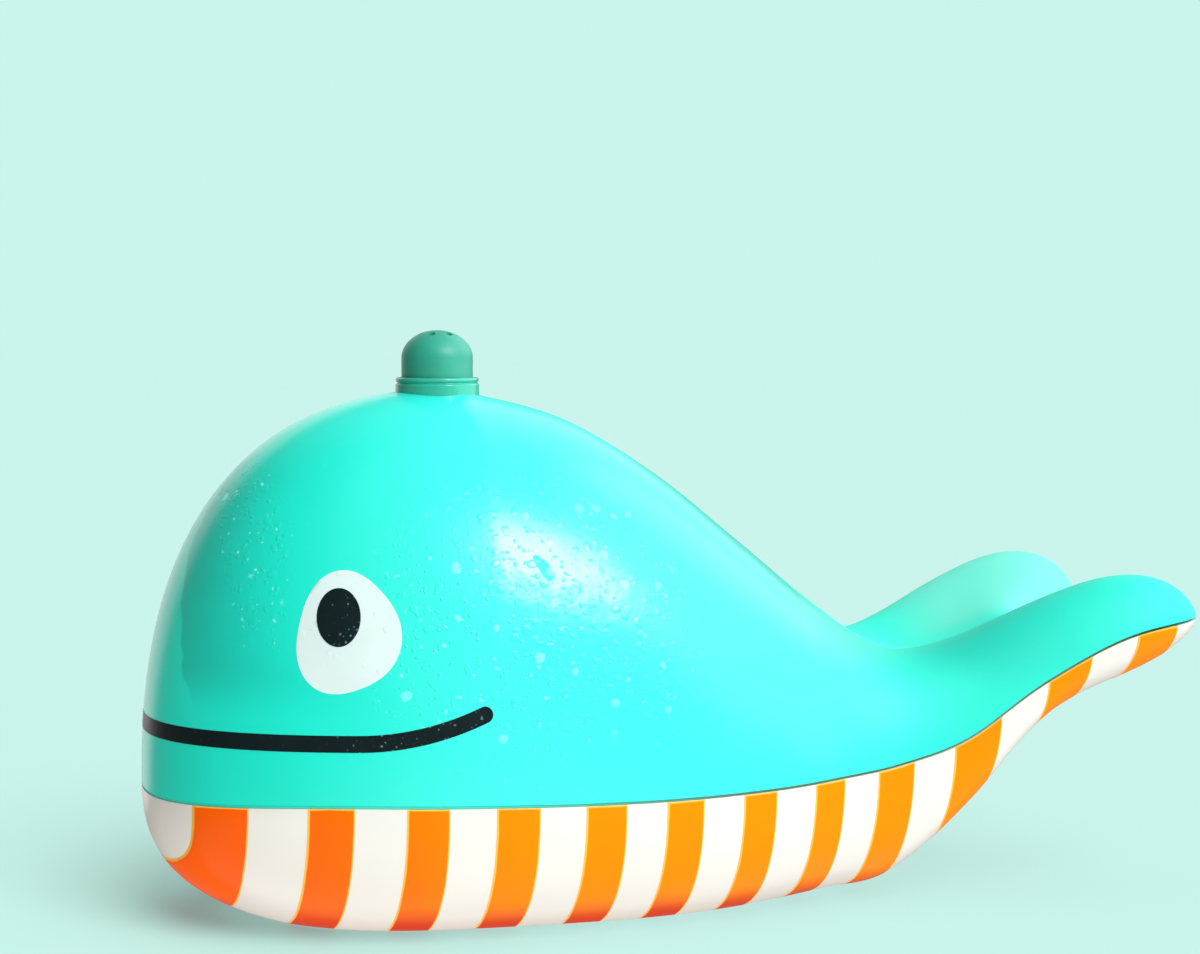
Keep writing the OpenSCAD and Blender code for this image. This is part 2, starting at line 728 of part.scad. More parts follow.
module pump_button() {
    arc = [for (k = [0 : 12]) [
        button_d / 2 * cos(7.5 * k), button_top - dome_rise + dome_rise * sin(7.5 * k)
    ]];
    color("mediumseagreen")
    at_blowhole() difference() {
        rotate_extrude() polygon(concat([[0, button_foot], [button_d / 2, button_foot]], arc));
        translate([0, 0, button_foot - cut])
            cylinder(d = cartridge_d, h = cartridge_head - button_foot + cut);
        translate([0, 0, cartridge_head - cut])
            cylinder(d = cartridge_d - 2 * button_wall, h = dome_rise - button_tip + cut);
        translate([0, 0, cartridge_head]) cylinder(d = spout_d, h = dome_rise + cut);
        for (k = [0 : spout_count - 1])
            rotate([0, 0, 360 * k / spout_count]) translate([spout_ring_share * button_d, 0, cartridge_head])
                cylinder(d = spout_d, h = dome_rise + cut);
    }
}

module foam_cartridge() {
    color("whitesmoke")
    at_blowhole() difference() {
        translate([0, 0, cartridge_foot])
            cylinder(d = cartridge_d - 2 * fixed_gap, h = cartridge_head - cartridge_foot - fixed_gap);
        translate([0, 0, cartridge_foot - cut])
            cylinder(d = stem_d + 2 * fixed_gap, h = socket_l + cut);
        translate([0, 0, cartridge_foot])
            cylinder(d = stem_bore, h = cartridge_head - cartridge_foot);
        translate([0, 0, screen_low])
            cylinder(d = screen_d, h = screen_t + fixed_gap);
        translate([0, 0, screen_low])
            cylinder(d = screen_d - 2 * ledge_w, h = cartridge_head - screen_low);
        translate([0, 0, screen_low + screen_gap])
            cylinder(d = screen_d, h = cartridge_head - screen_low);
    }
}
module foam_screens() {
    color("silver")
    at_blowhole() for (z = [screen_low, screen_low + screen_gap])
        translate([0, 0, z]) difference() {
            cylinder(d = screen_d - 2 * fixed_gap, h = screen_t);
            for (k = [0 : 5])
                rotate([0, 0, 60 * k]) translate([screen_d / 4, 0, -cut])
                    cylinder(d = screen_t, h = screen_t + 2 * cut);
        }
}

module piston_stem() {
    stem_foot = plunger_z + stem_shoulder;
    color("whitesmoke")
    at_blowhole() difference() {
        translate([0, 0, stem_foot]) cylinder(d = stem_d, h = stem_top - stem_foot);
        translate([0, 0, stem_foot - cut]) cylinder(d = stem_bore, h = stem_top - stem_foot + 2 * cut);
        translate([-stem_d, 0, piston_z - stem_bore / 2]) rotate([0, 90, 0])
            cylinder(d = spout_d, h = 2 * stem_d);
    }
}

// Piston with a waist between two lips, bored for the stem
module cup_piston(d, bore, h, foot = 0) {
    lip = h / 4;
    waist = lip / 2;
    rotate_extrude() polygon([
        [bore / 2, foot], [d / 2, 0], [d / 2, lip], [d / 2 - waist, lip], [d / 2 - waist, h - lip],
        [d / 2, h - lip], [d / 2, h], [bore / 2, h]
    ]);
}
module air_piston() {
    color("white")
    at_blowhole() translate([0, 0, piston_z])
        cup_piston(chamber_d - 2 * running_gap, stem_d + 2 * fixed_gap, piston_h);
}
module liquid_piston() {
    color("dimgray")
    at_blowhole() translate([0, 0, plunger_z]) difference() {
        cup_piston(barrel_d - 2 * running_gap, stem_bore, plunger_h);
        translate([0, 0, stem_shoulder])
            cylinder(d = stem_d + 2 * fixed_gap, h = plunger_h);
    }
}

// Helix of round wire with flat-lying ends, as one closed tube
module return_spring() {
    rise = spring_top - spring_floor - 2 * fixed_gap - wire_d;
    rings = ceil(spring_turns * 12);
    sides = 6;
    color("silver")
    at_blowhole() translate([0, 0, spring_floor + fixed_gap + wire_d / 2]) {
        at = function (i, k)
            let (
                turn = 360 * spring_turns * i / rings,
                t = i / rings,
                z = rise * ease_ends(t),
                r = spring_d / 2 + wire_d / 2 * cos(360 * k / sides)
            )
            [r * cos(turn), r * sin(turn), z + wire_d / 2 * sin(360 * k / sides)];
        pts = [for (i = [0 : rings], k = [0 : sides - 1]) at(i, k)];
        id = function (i, k) i * sides + k % sides;
        polyhedron(pts, concat(
            [for (i = [0 : rings - 1], k = [0 : sides - 1]) each [
                [id(i, k), id(i, k + 1), id(i + 1, k + 1)],
                [id(i, k), id(i + 1, k + 1), id(i + 1, k)]
            ]],
            [for (k = [1 : sides - 2]) [id(0, 0), id(0, k + 1), id(0, k)]],
            [for (k = [1 : sides - 2]) [id(rings, 0), id(rings, k), id(rings, k + 1)]]
        ));
    }
}
// Rise of the spring along its length, slow over the end turns
function ease_ends(t) = t - end_coil_share * sin(360 * t) / PI;

module pump_cap() {
    color("whitesmoke")
    at_blowhole() difference() {
        translate([0, 0, cap_z]) cylinder(d = deck_d, h = cap_t);
        translate([0, 0, cap_z - cut]) cylinder(d = collar_bore, h = cap_t + 2 * cut);
        translate([0, 0, deck_z - seal_t])
            tube(seal_mid_d + seal_w, seal_mid_d - seal_w, seal_t + cut);
        translate([0, 0, cap_z - cut]) at_deck_screws()
            cylinder(d = deck_screw_d + 4 * fixed_gap, h = cap_t + 2 * cut);
    }
}
module deck_seal() {
    color("black")
    at_blowhole() translate([0, 0, deck_z - seal_t])
        tube(seal_mid_d + seal_w - 2 * fixed_gap, seal_mid_d - seal_w + 2 * fixed_gap, seal_t);
}
module deck_screws() {
    color("silver")
    at_blowhole() at_deck_screws() {
        translate([0, 0, flange_z - deck_screw_head_t])
            cylinder(d = deck_screw_head_d, h = deck_screw_head_t);
        translate([0, 0, flange_z]) cylinder(d = deck_screw_d, h = deck_screw_l);
    }
}

module pump_cylinder() {
    floor_t = pump_wall;
    tail_z = barrel_z - socket_floor - socket_deep;
    chamber_r = chamber_d / 2;
    barrel_r = barrel_d / 2;
    socket_r = tube_d / 2 + socket_wall;
    color("lightsteelblue")
    at_blowhole() difference() {
        union() {
            translate([0, 0, flange_z]) cylinder(d = deck_d, h = flange_t);
            translate([0, 0, chamber_z - floor_t])
                cylinder(r = chamber_r + pump_wall, h = chamber_l + floor_t);
            translate([0, 0, barrel_z - socket_floor])
                cylinder(r = barrel_r + pump_wall, h = barrel_l + socket_floor + floor_t);
            translate([0, 0, tail_z]) cylinder(r = socket_r, h = socket_deep + socket_floor);
            translate([0, 0, port_z]) rotate([0, 90, 0]) cylinder(d = port_d, h = port_reach);
        }
        translate([0, 0, chamber_z]) cylinder(r = chamber_r, h = chamber_l + cut);
        rotate_extrude() polygon([
            [0, barrel_z - socket_floor - cut], [inlet_d / 2, barrel_z - socket_floor - cut],
            [inlet_d / 2, barrel_z], [barrel_r, barrel_z + seat_depth],
            [barrel_r, chamber_z + cut], [0, chamber_z + cut]
        ]);
        translate([0, 0, tail_z - cut])
            cylinder(d = tube_d + 2 * fixed_gap, h = socket_deep + cut);
        translate([0, 0, port_z]) rotate([0, 90, 0])
            cylinder(d = port_bore, h = port_reach + cut);
        translate([0, 0, flange_z - cut]) at_deck_screws()
            cylinder(d = deck_screw_d + 4 * fixed_gap, h = flange_t + 2 * cut);
    }
}
module ball_cage() {
    color("white")
    at_blowhole() translate([0, 0, cage_z]) difference() {
        cylinder(d = barrel_d - 2 * fixed_gap, h = cage_t);
        translate([0, 0, -cut]) cylinder(d = cage_hole, h = cage_t + 2 * cut);
        for (k = [0 : 3])
            rotate([0, 0, 90 * k]) translate([(barrel_d + cage_hole) / 4, 0, -cut])
                cylinder(d = screen_t, h = cage_t + 2 * cut);
    }
}
module inlet_ball() {
    color("gold")
    at_blowhole() translate([0, 0, ball_z]) sphere(d = ball_d);
}
module dip_tube() {
    tube_foot = floor_z(blowhole_x, wall) + tube_stand;
    tube_head = barrel_z - socket_floor - fixed_gap;
    color("aliceblue")
    at_blowhole() translate([0, 0, tube_foot]) tube(tube_d, tube_bore, tube_head - tube_foot);
}

module along_port(x) {
    translate([blowhole_x + x, 0, port_z]) rotate([0, 90, 0]) children();
}
module squeaker_housing() {
    color("white")
    difference() {
        along_port(squeaker_start) cylinder(d = squeaker_d, h = squeaker_l);
        along_port(squeaker_start - cut)
            cylinder(d = port_d + 2 * fixed_gap, h = seat_x - squeaker_start + cut);
        along_port(squeaker_start) cylinder(d = port_bore, h = squeaker_l + cut);
        along_port(seat_x + seat_t) cylinder(d = squeaker_bore, h = squeaker_l);
    }
}
module squeaker_reed() {
    tongue_l = squeaker_bore * 0.6;
    tongue_w = squeaker_bore * 0.34;
    slit = reed_t;
    color("gold")
    along_port(seat_x + seat_t) difference() {
        cylinder(d = squeaker_bore - 2 * fixed_gap, h = reed_t);
        translate([-tongue_l / 2, -tongue_w / 2 - slit, -cut])
            cube([tongue_l, slit, reed_t + 2 * cut]);
        translate([-tongue_l / 2, tongue_w / 2, -cut]) cube([tongue_l, slit, reed_t + 2 * cut]);
        translate([-tongue_l / 2, -tongue_w / 2 - slit, -cut])
            cube([slit, tongue_w + 2 * slit, reed_t + 2 * cut]);
    }
}
module squeaker_cap() {
    start = seat_x + seat_t + reed_t;
    finish = squeaker_start + squeaker_l;
    color("white")
    difference() {
        union() {
            along_port(start) cylinder(d = squeaker_bore - 2 * fixed_gap, h = finish - start);
            along_port(finish) cylinder(d = squeaker_d, h = cap_lip);
        }
        along_port(start - cut) cylinder(d = squeaker_bore * 0.66, h = finish - start);
        along_port(start) cylinder(d = port_bore / 2, h = finish - start + cap_lip + cut);
    }
}

module filler_plug() {
    color("mediumturquoise")
    translate([plug_x, 0, plug_recess]) {
        cylinder(d = plug_head_d, h = plug_head_t);
        cylinder(d = plug_d, h = plug_head_t + plug_l);
    }
}
module keel_weight() {
    color("gray")
    translate([weight_x, 0, weight_z]) linear_extrude(weight_h)
        rounded_bar(weight_l, weight_w, weight_round);
}
// Flat outline of a bar with round corners
module rounded_bar(l, w, r) {
    square([l - 2 * r, w], center = true);
    square([l, w - 2 * r], center = true);
    for (x = [-1, 1], y = [-1, 1])
        translate([x * (l / 2 - r), y * (w / 2 - r)]) circle(r = r);
}
module hull_screws() {
    color("silver")
    at_hull_screws(-screw_drop) {
        translate([0, 0, -screw_head_t]) cylinder(d = screw_head_d, h = screw_head_t);
        cylinder(d = hull_screw_d, h = hull_screw_l);
    }
}

upper_shell();
lower_shell();
seam_gasket();
eye_whites();
eye_pupils();
mouth_line();
belly_stripes();
blowhole_collar();
pump_button();
foam_cartridge();
foam_screens();
piston_stem();
air_piston();
liquid_piston();
return_spring();
pump_cap();
deck_seal();
deck_screws();
pump_cylinder();
ball_cage();
inlet_ball();
dip_tube();
squeaker_housing();
squeaker_reed();
squeaker_cap();
filler_plug();
keel_weight();
hull_screws();
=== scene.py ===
"""Looks of a whale bath toy: smooth glossy shells, prints, button, small fittings and a studio stage."""

import math

import bmesh
import bpy
import numpy as np
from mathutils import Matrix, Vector


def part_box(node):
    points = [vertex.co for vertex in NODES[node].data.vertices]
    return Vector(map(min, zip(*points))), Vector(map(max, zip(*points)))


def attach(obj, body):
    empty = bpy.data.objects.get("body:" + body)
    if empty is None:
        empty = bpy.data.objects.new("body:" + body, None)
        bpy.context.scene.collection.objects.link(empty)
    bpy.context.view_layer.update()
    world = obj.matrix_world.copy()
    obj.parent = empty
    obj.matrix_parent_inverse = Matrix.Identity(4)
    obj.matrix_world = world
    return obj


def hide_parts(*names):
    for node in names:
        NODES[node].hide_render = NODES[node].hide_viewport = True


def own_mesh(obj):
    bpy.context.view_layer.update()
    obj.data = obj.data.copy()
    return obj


bl_info = {
    "name": "Whale bath toy",
    "version": (1, 0, 0),
    "blender": (4, 5, 0),
    "location": "View3D > Sidebar > Whale toy",
    "description": "Dresses the packed parts of a whale bath toy",
    "category": "Object",
}

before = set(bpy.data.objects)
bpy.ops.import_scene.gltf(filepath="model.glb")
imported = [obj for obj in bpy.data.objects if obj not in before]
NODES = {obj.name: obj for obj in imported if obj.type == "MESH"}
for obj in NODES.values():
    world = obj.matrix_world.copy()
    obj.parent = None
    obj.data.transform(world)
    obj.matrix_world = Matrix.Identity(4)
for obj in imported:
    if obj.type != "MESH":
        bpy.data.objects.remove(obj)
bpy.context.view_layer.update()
MM = 0.001

# Sizes of the hull in millimetres, as in the part's source
BODY_L = 198.0
BODY_H = 97.0
HALF_W = 41.0
FLUKE_SWEEP = 24.0
NOSE_X = -BODY_L / 2
HULL_RUN = BODY_L - FLUKE_SWEEP
WALL = 2.2
SEAM_GAP = 0.5
TAIL_INSET_SHARE = 2.0

# Tables along the hull: station share, share of the height or of the half width
BACK_SHARES = ((0.335, 1), (0.45, 0.943), (0.55, 0.838), (0.64, 0.71), (0.73, 0.577),
               (0.8, 0.487), (0.86, 0.458), (0.92, 0.483), (1, 0.55))
SEAM_SHARES = ((0, 0.256), (0.15, 0.268), (0.3, 0.265), (0.45, 0.259), (0.6, 0.26), (0.7, 0.269),
               (0.78, 0.287), (0.84, 0.33), (0.9, 0.438), (0.95, 0.52), (1, 0.548))
KEEL_SHARES = ((0.28, -0.031), (0.55, -0.031), (0.74, 0.004), (0.8, 0.024), (0.86, 0.137),
               (0.92, 0.318), (1, 0.41))
BEAM_SHARES = ((0.4, 1), (0.52, 0.976), (0.64, 0.89), (0.74, 0.79), (0.82, 0.755), (0.9, 0.805),
               (0.96, 0.89), (1, 0.93))
LOBE_SHARES = ((0.7, 0), (0.78, 0.02), (0.86, 0.075), (0.93, 0.096), (1, 0.092))
DIP_SHARES = ((0.74, 0), (0.84, 0.02), (0.92, 0.06), (1, 0.075))
SWEEP_SHARES = ((0.74, 0), (0.8, 0.05), (0.9, 0.34), (1, 1))
CROWN_SHARE, BOW_SHARE, WIDE_SHARE = 0.335, 0.28, 0.4
CROWN_POWER, BOW_POWER, WIDE_POWER = 2.43, 2.4, 2.3
ROUND_SHARE, ROUND_POWER = 0.93, 3.0
TIP_SHARE, TIP_POWER, TIP_CUT_SHARE = 0.9, 2.4, 0.34
BACK_POWERS = (0.95, 0.92)
BOW_POWERS = (1.03, 1.27)
BELLY_POWERS = (0.8, 0.93)
TAIL_POWERS = (0.73, 1.03)
BOW_BLEND_SHARE, BELLY_BLEND_SHARES = 0.32, (0.55, 0.82)

# Places and sizes of the prints
EYE_SHARE, EYE_Z, EYE_W, EYE_H, EYE_LEAN, EYE_EGG = 0.1605, 55.7, 17.0, 21.0, 15.0, 0.063
PUPIL_SHARE, PUPIL_Z, PUPIL_W, PUPIL_H, PUPIL_LEAN = 0.1537, 58.56, 7.2, 10.0, 8.0
MOUTH_Z, MOUTH_RISE, MOUTH_T = 37.0, 5.3, 2.9
MOUTH_END_SHARE, MOUTH_TURN_SHARE = 0.282, 0.167
STRIPE_SHARES = ((0.032, 0.044), (0.124, 0.039), (0.207, 0.037), (0.285, 0.039), (0.366, 0.038),
                 (0.442, 0.036), (0.518, 0.034), (0.593, 0.032), (0.661, 0.038), (0.74, 0.046),
                 (0.831, 0.042), (0.919, 0.045))
# How far the first stripe's front edge runs forward at the keel
STRIPE_HOOK = 3.2
# How far a print reaches into the shell, so that it has a thickness
PRINT_ROOT = -0.15

# Places and sizes of the fittings: R is a radius, T a thickness
BLOW_X = NOSE_X + 0.278 * BODY_L
PLUG_X = NOSE_X + 0.58 * BODY_L
WEIGHT_X = NOSE_X + 0.405 * BODY_L
SCREW_XS = (NOSE_X + 0.188 * BODY_L, NOSE_X + 0.615 * BODY_L)
SCREW_Y = 0.34 * HALF_W
SCREW_PLACES = [(x, side * SCREW_Y) for x in SCREW_XS for side in (-1, 1)]
# How far below the seam the screws' heads bear
SCREW_DROP = 11
DECK_R, DECK_T = 17.7, 13
CAP_BORE_R, CAP_BORE_T, BLOW_BORE_R = 10.65, 1.6, 7.85
CAP_SCREW_R, CAP_SCREW_RING = 1.15, 15.1
BOSS_R, PILOT_R = 3.9, 1.55
TOWER_R, SCREW_HEAD_R, SCREW_HOLE_R = 4.55, 2.95, 1.6
PLUG_HEAD_R, PLUG_HEAD_T, PLUG_STEM_R = 9.5, 1.6, 7.0
PLUG_ROOM = 0.3
PLUG_SEAT_TOP, WEIGHT_POCKET_TOP, WEIGHT_FLOOR = 6.6, 7.2, 3.2
WEIGHT_HALF_L, WEIGHT_HALF_W, WEIGHT_WALL = 18.1, 8.1, 1.5
# Depth of the gasket in the seam, and how far in its outer edge lies at two places along X
GASKET_DEPTH, GASKET_XS, GASKET_INSETS = 1.7, (-50, 20), (0.12, 0.6)

# Fineness of the shells' meshes
ROWS, BACK_COLUMNS, BELLY_COLUMNS = 168, 144, 160
# Angle of the seam, a hair below it so that a search along the belly finds it
SEAM_ANGLE = -math.pi / 2 + 5e-4

# Camera: target and distance in metres, bearing and rise in degrees
AIM, DISTANCE, BEARING, RISE = (-0.0124, 0, 0.08), 0.4941, -16, 3.6


# Curves of the hull
def along(table, q):
    """Smooth curve through a table of shares."""
    xs, ys = np.array(table, float).T
    slopes = np.gradient(ys)
    slopes[1:-1] = (ys[2:] - ys[:-2]) / (xs[2:] - xs[:-2])
    slopes[0] = (ys[1] - ys[0]) / (xs[1] - xs[0])
    slopes[-1] = (ys[-1] - ys[-2]) / (xs[-1] - xs[-2])
    i = np.clip(np.searchsorted(xs, q, side="right") - 1, 0, len(xs) - 2)
    h = xs[i + 1] - xs[i]
    u = np.clip((q - xs[i]) / h, 0, 1)
    return ((2 * u**3 - 3 * u**2 + 1) * ys[i] + (u**3 - 2 * u**2 + u) * h * slopes[i]
            + (3 * u**2 - 2 * u**3) * ys[i + 1] + (u**3 - u**2) * h * slopes[i + 1])


def swell(t, power):
    return (1 - (1 - np.clip(t, 0, 1)) ** power) ** (1 / power)


def fade(t, power):
    return np.maximum(0, 1 - np.clip(t, 0, 1) ** power) ** (1 / power)


def ease(t):
    u = np.clip(t, 0, 1)
    return u * u * (3 - 2 * u)


class Section:
    """Cross sections of the hull at station shares s, set in by an inset from the outside."""

    def __init__(self, s, inset=0.0):
        s = np.asarray(s, float)
        self.x = NOSE_X + inset + (HULL_RUN - (1 + TAIL_INSET_SHARE) * inset) * s
        q = (self.x - NOSE_X) / HULL_RUN
        self.seam = BODY_H * along(SEAM_SHARES, q)
        self.dip = BODY_H * along(DIP_SHARES, q)
        mid = self.seam - self.dip
        end = fade((s - ROUND_SHARE) / (1 - ROUND_SHARE), ROUND_POWER)
        top = np.maximum(0, BODY_H * along(BACK_SHARES, q) - inset - mid)
        low = np.maximum(0, mid - BODY_H * along(KEEL_SHARES, q) - inset)
        tip = 1 - TIP_CUT_SHARE * (1 - fade((s - TIP_SHARE) / (1 - TIP_SHARE), TIP_POWER))
        self.up = top * swell(s / CROWN_SHARE, CROWN_POWER) * end
        self.low = low * swell(s / BOW_SHARE, BOW_POWER) * end
        self.half = (HALF_W * along(BEAM_SHARES, q) - inset) * swell(s / WIDE_SHARE, WIDE_POWER) * tip
        self.lobe = BODY_H * along(LOBE_SHARES, q) * end
        self.sweep = FLUKE_SWEEP * along(SWEEP_SHARES, q)
        self.side_power, self.deep_power = (belly_power(q, k) for k in (0, 1))
        self.least = inset if inset > 0 else -BODY_H

    def sheet(self, a):
        """Height of the parting sheet at angle a."""
        return self.seam - self.dip * np.cos(a) ** 2

    def back(self, a, lift):
        """Points of the back at angle a, from the near seam to the far one."""
        r = np.abs(np.sin(a)) ** BACK_POWERS[0]
        cosine = np.clip(np.cos(a), 0, 1)
        z = (self.sheet(a) + lift + np.maximum(0, self.up - lift) * cosine ** BACK_POWERS[1]
             + self.lobe * np.sin(2 * a) ** 2)
        return pack(self.x + self.sweep * ease(r), self.half * r * np.sign(a), z)

    def belly(self, a, lift):
        """Points of the belly at angle a."""
        r = np.abs(np.sin(a)) ** self.side_power
        cosine = np.clip(np.cos(a), 0, 1)
        z = self.sheet(a) - lift - np.maximum(0, self.low - lift) * cosine**self.deep_power
        return pack(self.x + self.sweep * ease(r), self.half * r * np.sign(a),
                    np.maximum(self.least, z))


def belly_power(q, k):
    """Power of the belly's curve at share q of the run, 0 sideways and 1 in height."""
    tail = ease((q - BELLY_BLEND_SHARES[0]) / (BELLY_BLEND_SHARES[1] - BELLY_BLEND_SHARES[0]))
    bow = 1 - ease(q / BOW_BLEND_SHARE)
    return (BELLY_POWERS[k] + (TAIL_POWERS[k] - BELLY_POWERS[k]) * tail
            + (BOW_POWERS[k] - BELLY_POWERS[k]) * bow)


def run_along(points):
    """Length run from the first row of points to each row."""
    steps = np.linalg.norm(np.diff(points, axis=0), axis=-1)
    return np.concatenate([np.zeros((1, *steps.shape[1:])), np.cumsum(steps, axis=0)])


def pack(x, y, z):
    """One array of points from three arrays that broadcast together."""
    return np.stack(np.broadcast_arrays(x, y, z), axis=-1)


def stations(count):
    """Station shares, close together at the nose and at the tail."""
    return (1 - np.cos(np.linspace(0, math.pi, count + 1))) / 2


def even_angles(count, of_belly):
    """Angles that cut a mid section into arcs of about one length, from seam to seam."""
    fine = np.linspace(0, math.pi / 2, 4001)
    mid = Section(np.array(0.4))
    line = mid.belly(fine, 0) if of_belly else mid.back(fine, 0)
    run = run_along(line)
    half = np.interp(np.linspace(0, run[-1], count // 2 + 1), run, fine)
    return np.concatenate([-half[:0:-1], half])


def seam_height(x):
    return float(Section(np.array((x - NOSE_X) / HULL_RUN)).seam)


def face_at(x, z, side, lift):
    """Points of the back at places of the side view, on one side, lifted off the surface."""
    c = Section((x - NOSE_X + lift) / (HULL_RUN + (1 + TAIL_INSET_SHARE) * lift), -lift)
    q = np.clip((z - c.seam) / np.maximum(c.up, 1e-6), 0, 1)
    r = np.sin(np.arccos(q ** (1 / BACK_POWERS[1]))) ** BACK_POWERS[0]
    return pack(x, side * c.half * r, z)


# Meshes
def new_piece(name, points, faces):
    """An object at the origin whose mesh holds these points, given in millimetres."""
    mesh = bpy.data.meshes.new(name)
    mesh.from_pydata([tuple(p) for p in np.asarray(points, float) * MM], [], faces)
    mesh.validate()
    piece = bpy.data.objects.new(name, mesh)
    bpy.context.scene.collection.objects.link(piece)
    return piece


def between(name, outer, inner, pole=False, closed=False, flip=False):
    """Closed solid between two grids of points. With a pole, row 0 is one point."""
    rows, width = outer.shape[:2]
    columns = width if closed else width - 1
    first = 1 if pole else 0
    grids = [np.concatenate([g[:1, :1].reshape(-1, 3)[:first], g[first:].reshape(-1, 3)])
             for g in (outer, inner)]
    count = len(grids[0])

    def place(i, j):
        return 0 if pole and i == 0 else first + (i - first) * width + j % width

    faces = []
    for i in range(rows - 1):
        for j in range(columns):
            quad = [place(i, j), place(i, j + 1), place(i + 1, j + 1), place(i + 1, j)]
            faces.append(quad)
            faces.append([count + k for k in reversed(quad)])
    last = rows - 1
    for j in range(columns):
        a, b = place(last, j), place(last, j + 1)
        faces.append([a, b, count + b, count + a])
        if not pole:
            a, b = place(0, j), place(0, j + 1)
            faces.append([b, a, count + a, count + b])
    if not closed:
        for i in range(rows - 1):
            a, b = place(i, 0), place(i + 1, 0)
            faces.append([a, b, count + b, count + a])
            a, b = place(i, columns), place(i + 1, columns)
            faces.append([b, a, count + a, count + b])
    sound = [list(dict.fromkeys(face)) for face in faces]
    if flip:
        sound = [face[::-1] for face in sound]
    return new_piece(name, np.concatenate(grids), sound)


def shade(piece, degrees=35):
    """Smooth shading, with an edge kept sharp where two faces meet at more than this angle."""
    piece.data.shade_smooth()
    piece.data.set_sharp_from_angle(angle=math.radians(degrees))


def settle(piece):
    """Turns what the modifiers make into the piece's plain mesh."""
    graph = bpy.context.evaluated_depsgraph_get()
    mesh = bpy.data.meshes.new_from_object(piece.evaluated_get(graph))
    piece.modifiers.clear()
    old = piece.data
    piece.data = mesh
    mesh.name = piece.name
    bpy.data.meshes.remove(old)


def combine(piece, how, tool):
    """Joins, cuts or intersects a piece with a closed tool, and removes the tool."""
    step = piece.modifiers.new("combine", "BOOLEAN")
    step.operation = how
    step.solver = "MANIFOLD"
    step.object = tool
    settle(piece)
    bpy.data.objects.remove(tool)


def rounded(outline, steps=6):
    """Closed outline of (radius, height, fillet) with its corners rounded off."""
    made = []
    for k, (r, z, fillet) in enumerate(outline):
        here = np.array((r, z))
        if not fillet:
            made.append(here)
            continue
        before = np.array(outline[k - 1][:2]) - here
        after = np.array(outline[(k + 1) % len(outline)][:2]) - here
        start = here + before / np.linalg.norm(before) * fillet
        end = here + after / np.linalg.norm(after) * fillet
        for t in np.linspace(0, 1, steps + 1):
            made.append((1 - t) ** 2 * start + 2 * t * (1 - t) * here + t**2 * end)
    return made


def lathe(name, outline, x=0.0, y=0.0, turns=96):
    """Solid of revolution about a line along Z, from a closed outline that runs anticlockwise."""
    points, rings = [], []
    for r, z in outline:
        start = len(points)
        if r < 1e-6:
            points.append((x, y, z))
            rings.append([start] * turns)
            continue
        for k in range(turns):
            t = 2 * math.pi * k / turns
            points.append((x + r * math.cos(t), y + r * math.sin(t), z))
        rings.append([start + k for k in range(turns)])
    faces = []
    for k in range(len(rings)):
        a, b = rings[k], rings[(k + 1) % len(rings)]
        if a[0] == a[1] and b[0] == b[1]:
            continue
        for j in range(turns):
            n = (j + 1) % turns
            faces.append(list(dict.fromkeys([a[j], a[n], b[n], b[j]])))
    return new_piece(name, points, faces)


def post(name, radius, low, high, x, y, turns=48):
    """Round post that cuts or adds to a shell."""
    return lathe(name, [(0, low), (radius, low), (radius, high), (0, high)], x, y, turns)


def slab(name, x0, x1, half, z0, z1):
    """Closed block, symmetric about the middle plane."""
    corners = ((x0, -half), (x1, -half), (x1, half), (x0, half))
    points = [(x, y, z) for z in (z0, z1) for x, y in corners]
    faces = [(3, 2, 1, 0), (4, 5, 6, 7), (0, 1, 5, 4), (1, 2, 6, 5), (2, 3, 7, 6), (3, 0, 4, 7)]
    return new_piece(name, points, faces)


def merged(pieces, name):
    """One object that holds the meshes of several."""
    mesh = bmesh.new()
    for piece in pieces:
        mesh.from_mesh(piece.data)
        bpy.data.objects.remove(piece)
    data = bpy.data.meshes.new(name)
    mesh.to_mesh(data)
    mesh.free()
    whole = bpy.data.objects.new(name, data)
    bpy.context.scene.collection.objects.link(whole)
    return whole


# Node trees
class Wire:
    """A socket of a node tree that takes part in sums."""

    def __init__(self, tree, socket):
        self.tree = tree
        self.socket = socket

    def maths(self, operation, *others, turned=False):
        node = self.tree.nodes.new("ShaderNodeMath")
        node.operation = operation
        values = [*others, self] if turned else [self, *others]
        for slot, value in zip(node.inputs, values):
            feed(self.tree, slot, value)
        return Wire(self.tree, node.outputs[0])

    def __add__(self, other):
        return self.maths("ADD", other)

    def __sub__(self, other):
        return self.maths("SUBTRACT", other)

    def __mul__(self, other):
        return self.maths("MULTIPLY", other)

    def __truediv__(self, other):
        return self.maths("DIVIDE", other)

    def __pow__(self, other):
        return self.maths("POWER", other)

    def __rsub__(self, other):
        return self.maths("SUBTRACT", other, turned=True)

    __radd__ = __add__
    __rmul__ = __mul__

    def least(self, other):
        return self.maths("MINIMUM", other)

    def most(self, other):
        return self.maths("MAXIMUM", other)

    def root(self):
        return self.maths("SQRT")


def feed(tree, slot, value):
    """Links a wire to a socket, or sets the socket to a value."""
    if isinstance(value, Wire):
        tree.links.new(value.socket, slot)
    elif slot.type == "RGBA" and len(value) == 3:
        slot.default_value = (*value, 1)
    else:
        slot.default_value = value


class Graph:
    """A node tree under construction."""

    def node(self, kind, sockets=None, out=0, **settings):
        node = self.tree.nodes.new(kind)
        for key, value in settings.items():
            setattr(node, key, value)
        for key, value in (sockets or {}).items():
            feed(self.tree, node.inputs[key], value)
        return Wire(self.tree, node.outputs[out])


